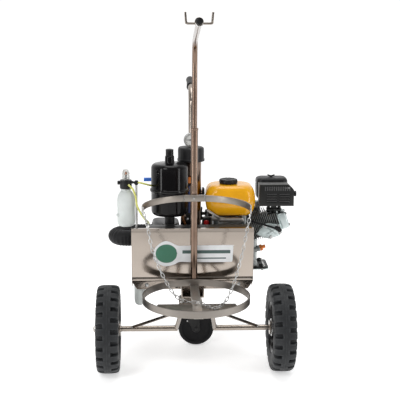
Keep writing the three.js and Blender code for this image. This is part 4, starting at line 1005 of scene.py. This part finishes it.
# ---- suction hose ----
HOSE_X, _, HOSE_Z = span("suction_hose")
SZ = (HOSE_Z[0] + HOSE_Z[1]) / 2
HOSE_R = (HOSE_Z[1] - HOSE_Z[0]) / 2
HOSE_LEFT = HOSE_X[0] + HOSE_R


def ribbed_hose(path, radius, rib, segs=40, points_per_rib=6):
    """A level hose whose radius swells once every few points of its path."""
    bm = bmesh.new()
    rows = []
    for i, p in enumerate(path):
        t = (path[min(i + 1, len(path) - 1)] - path[max(i - 1, 0)]).normalized()
        side = t.cross(Z).normalized()
        r = radius - rib + rib * (0.5 + 0.5 * cos(i * 2 * pi / points_per_rib)) ** 1.5
        angles = [2 * pi * k / segs for k in range(segs)]
        rows.append([bm.verts.new(p + (side * cos(a) + Z * sin(a)) * r) for a in angles])
    return skin(bm, rows)


bend_path = smooth_path([(-138, 288, SZ), (-165, 288, SZ), (-203, 285, SZ), (-238, 267, SZ),
    (HOSE_LEFT, 242, SZ), (HOSE_LEFT, 226, SZ), (-238, 204, SZ), (-203, 198, SZ), (-165, 202, SZ),
    (-138, 206, SZ)], 24)
suction = Shape().merge(ribbed_hose(even_points(bend_path, 1.5), HOSE_R, 1.2))
suction.piece("suction_bend", RUBBER, ROOT, "suction_hose", sharp=70)
clamps = Shape()
for p in ((-152, 288, SZ), (-152, 204, SZ)):
    clamps.lathe([(HOSE_R, -5), (HOSE_R + 0.9, -5), (HOSE_R + 0.9, 5), (HOSE_R, 5), (HOSE_R, -5)], p, -X, 64)
    clamps.box((p[0] - 6, p[0] + 6), (p[1] - 5, p[1] + 5), (SZ + HOSE_R, SZ + HOSE_R + 6), 1, 2)
clamps.piece("hose_clamps", ZINC)

# ---- feed bottle, its cap and rod, and the drain bottle ----
B = Vector((-220, 130, 447))
bottle = [(0, 2.4), (14, 2.4), (17, 0.4), (20, 0), (25, 2), (28, 7), (29, 14), (29, 30), (28.6, 32),
    (28.6, 62), (29.2, 64), (29.2, 82), (28.6, 90), (27, 98), (24.4, 105), (21.4, 110), (18.6, 113.6),
    (16.8, 116), (16.2, 118), (16.2, 122), (0, 122)]
Shape().lathe(bottle, B, Z, 96).piece("feed_bottle", MILKY, ROOT, "bottle")
Shape().rod(B + Vector((-20, -12, 34)), B + Vector((-31, -15, 40)), 4.2, 20, 1.6).piece("bottle_spout", MILKY)
cap = Shape().lathe([(16.4, 124), (19, 124), (19.5, 125), (19.5, 149), (18.4, 151), (12, 151.4), (0, 151.4),
    (0, 146), (16.4, 146), (16.4, 124)], B, Z, 96, lambda r, h,
    a: r - (0.8 if r > 18.5 and 125 < h < 148 and cos(a * 22) > 0.3 else 0))
cap.rod(B + Vector((-12, 0, 142)), B + Vector((-25, 0, 142)), 4.4, 24,
    1).lathe([(0, 0), (6, 0), (6.6, 1), (6.6, 6), (5.8, 7), (0, 7)], B + Vector((-20, 0, 142)), -X, 32)
cap.rod(B + Vector((12, 0, 145)), B + Vector((24, -2, 143)), 4.4, 24, 1)
cap.rod((-205, 126, 591), (-186, 125, 590), 3.6, 20).lathe([(0, -7), (7, -7), (7.4, -5.6), (7.4, 5.6),
    (7, 7), (0, 7)], (-186, 123, 590), Y, 32)
cap.piece("bottle_cap_body", BLACK_PLASTIC, ROOT, "bottle_cap")
Shape().lathe([(11, 151.5), (12.3, 151.5), (12.3, 172), (11.6, 178), (9.4, 183), (5.6, 186.2), (0, 187.2),
    (0, 185.6), (5, 184.6), (8.4, 181.8), (10.4, 177.4), (11, 172), (11, 151.5)], B, Z,
    64).piece("sight_dome", CLEAR)
nozzle = Shape().rod(B + Z * 151.6, B + Z * 166, 3.4, 24, 0.8).lathe([(0, 166), (5, 166), (5, 168),
    (0, 168)], B, Z, 32)
nozzle.piece("drip_nozzle", ZINC)
Shape().lathe([(0, 0), (3.2, 1), (4.2, 4), (3, 8), (0, 11)], B + Vector((1, 0, 168)), Z,
    32).piece("drip_float", ORANGE)
post_foot = (-186, 125, TOP + 0.4)
post = Shape().rod(post_foot, (-186, 125, 583), 3.5, 28, 0.5)
post.lathe([(0, 0), (9.6, 0), (9.6, 7.6), (9, 8.4), (0, 8.4)], post_foot, Z, 6).piece("bottle_post", ZINC,
    ROOT, "bottle_rod")
feed_path = smooth_path([(-211, 108, 586), (-204, 105, 580), (-196, 106, 570), (-188, 106, 545),
    (-184, 106, 518), (-172, 108, 492), (-158, 116, 470), (-150, 126, 460), (-147, 130, 453)], 12)
Shape().sweep(feed_path, 3.3, 20).piece("feed_line", TUBE_YELLOW, ROOT, "feed_tube")
vent_path = smooth_path([(-181, 116, 592), (-172, 118, 590), (-162, 126, 586), (-150, 140, 580),
    (-140, 160, 574), (-132, 190, 568), (-124, 215, 560)], 12)
Shape().sweep(vent_path, 3.0, 20).piece("vent_line", TUBE_YELLOW)
Shape().lathe([(0, 178), (8, 178.6), (13, 182), (16.6, 188), (18, 196), (18, 246), (16.4, 254), (12.6, 258),
    (12, 262), (12, 265.4), (0, 265.4)], (-178, 128, 0), Z, 72).piece("drain_jar", MILKY, ROOT,
    "drain_bottle")
Shape().lathe([(12.2, 258), (14.4, 258), (14.4, 265.4), (12.2, 265.4), (12.2, 258)], (-178, 128, 0), Z,
    60).piece("drain_jar_collar", WHITE_PRINT)

# ---- floor, light and camera ----
floor_mesh = bpy.data.meshes.new("floor")
floor_mesh.from_pydata([(u * 40, v * 40, -0.0005) for u, v in ((-1, -1), (1, -1), (1, 1), (-1, 1))], [],
    [(0, 1, 2, 3)])
floor = bpy.data.objects.new("floor", floor_mesh)
bpy.context.scene.collection.objects.link(floor)
ground = Look("floor_white", "stainless").set(Roughness=0.9, Specular_IOR_Level=0.05)
ground.colour(ground.mix(ground.remap(ground.noise(2), 0, 1), (0.92, 0.92, 0.92), (0.94, 0.94, 0.94)))
# The floor glows, strongest round the machine and fading towards the front, so it reads as a lit white sweep:
# painted light.
place = ground.nodes.new("ShaderNodeSeparateXYZ")
ground.links.new(ground.coords, place.inputs["Vector"])
ground.shader.inputs["Emission Color"].default_value = (1, 1, 1, 1)
ground.links.new(ground.remap(place.outputs["Y"], 0.05, 0.50, -2.0, -0.5),
    ground.shader.inputs["Emission Strength"])
floor_mesh.materials.append(ground.m)

# The studio is white behind the machine and dimmer in front of it, which gives the metal its contrast.
world = bpy.data.worlds.new("studio")
bpy.context.scene.world = world
world.use_nodes = True
tree = world.node_tree
direction = tree.nodes.new("ShaderNodeSeparateXYZ")
tree.links.new(tree.nodes.new("ShaderNodeTexCoord").outputs["Generated"], direction.inputs["Vector"])
level = tree.nodes.new("ShaderNodeMapRange")
level.interpolation_type = "SMOOTHSTEP"
for key, v in (("From Min", -0.5), ("From Max", 0.75), ("To Min", 0.22), ("To Max", 1.05)):
    level.inputs[key].default_value = v
tree.links.new(direction.outputs["Y"], level.inputs["Value"])
tree.links.new(level.outputs["Result"], tree.nodes["Background"].inputs["Strength"])
tree.nodes["Background"].inputs["Color"].default_value = (1, 1, 1, 1)


def area_light(name, at, aim, size, power):
    lamp = bpy.data.lights.new(name, "AREA")
    lamp.shape, lamp.size, lamp.size_y, lamp.energy = "RECTANGLE", size[0], size[1], power
    o = bpy.data.objects.new(name, lamp)
    o.matrix_world = Matrix.Translation(at) @ (Vector(aim) - Vector(at)).to_track_quat("-Z",
        "Y").to_matrix().to_4x4()
    bpy.context.scene.collection.objects.link(o)


area_light("key", (-1.5, -2.2, 2.4), (0, 0, 0.5), (1.0, 1.0), 30)
area_light("left_strip", (-2.2, -1.4, 0.9), (0, 0, 0.5), (0.3, 1.8), 14)
area_light("right_strip", (2.2, -1.2, 1.0), (0, 0, 0.4), (0.3, 1.8), 14)
area_light("top", (0.1, 0.2, 2.8), (0, 0, 0.3), (1.6, 1.6), 24)

YAW, PITCH, ROLL = (radians(a) for a in (2.725, 11.481, -0.295))
forward = Vector((sin(YAW) * cos(PITCH), cos(YAW) * cos(PITCH), -sin(PITCH)))
right = Vector((cos(YAW), -sin(YAW), 0))
down = forward.cross(right)
across = right * cos(ROLL) + down * sin(ROLL)
below = down * cos(ROLL) - right * sin(ROLL)
camera = bpy.data.objects.new("camera", bpy.data.cameras.new("camera"))
axes = Matrix((across, -below, -forward)).transposed().to_4x4()
camera.matrix_world = Matrix.Translation(TO_ROW @ Vector((-117.16, -2749.56, 1116.19))) @ axes
camera.data.lens, camera.data.sensor_width = 81.45, 36
bpy.context.scene.collection.objects.link(camera)
bpy.context.scene.camera = camera
bpy.context.scene.view_settings.view_transform = "Standard"
bpy.context.scene.view_settings.look = "None"
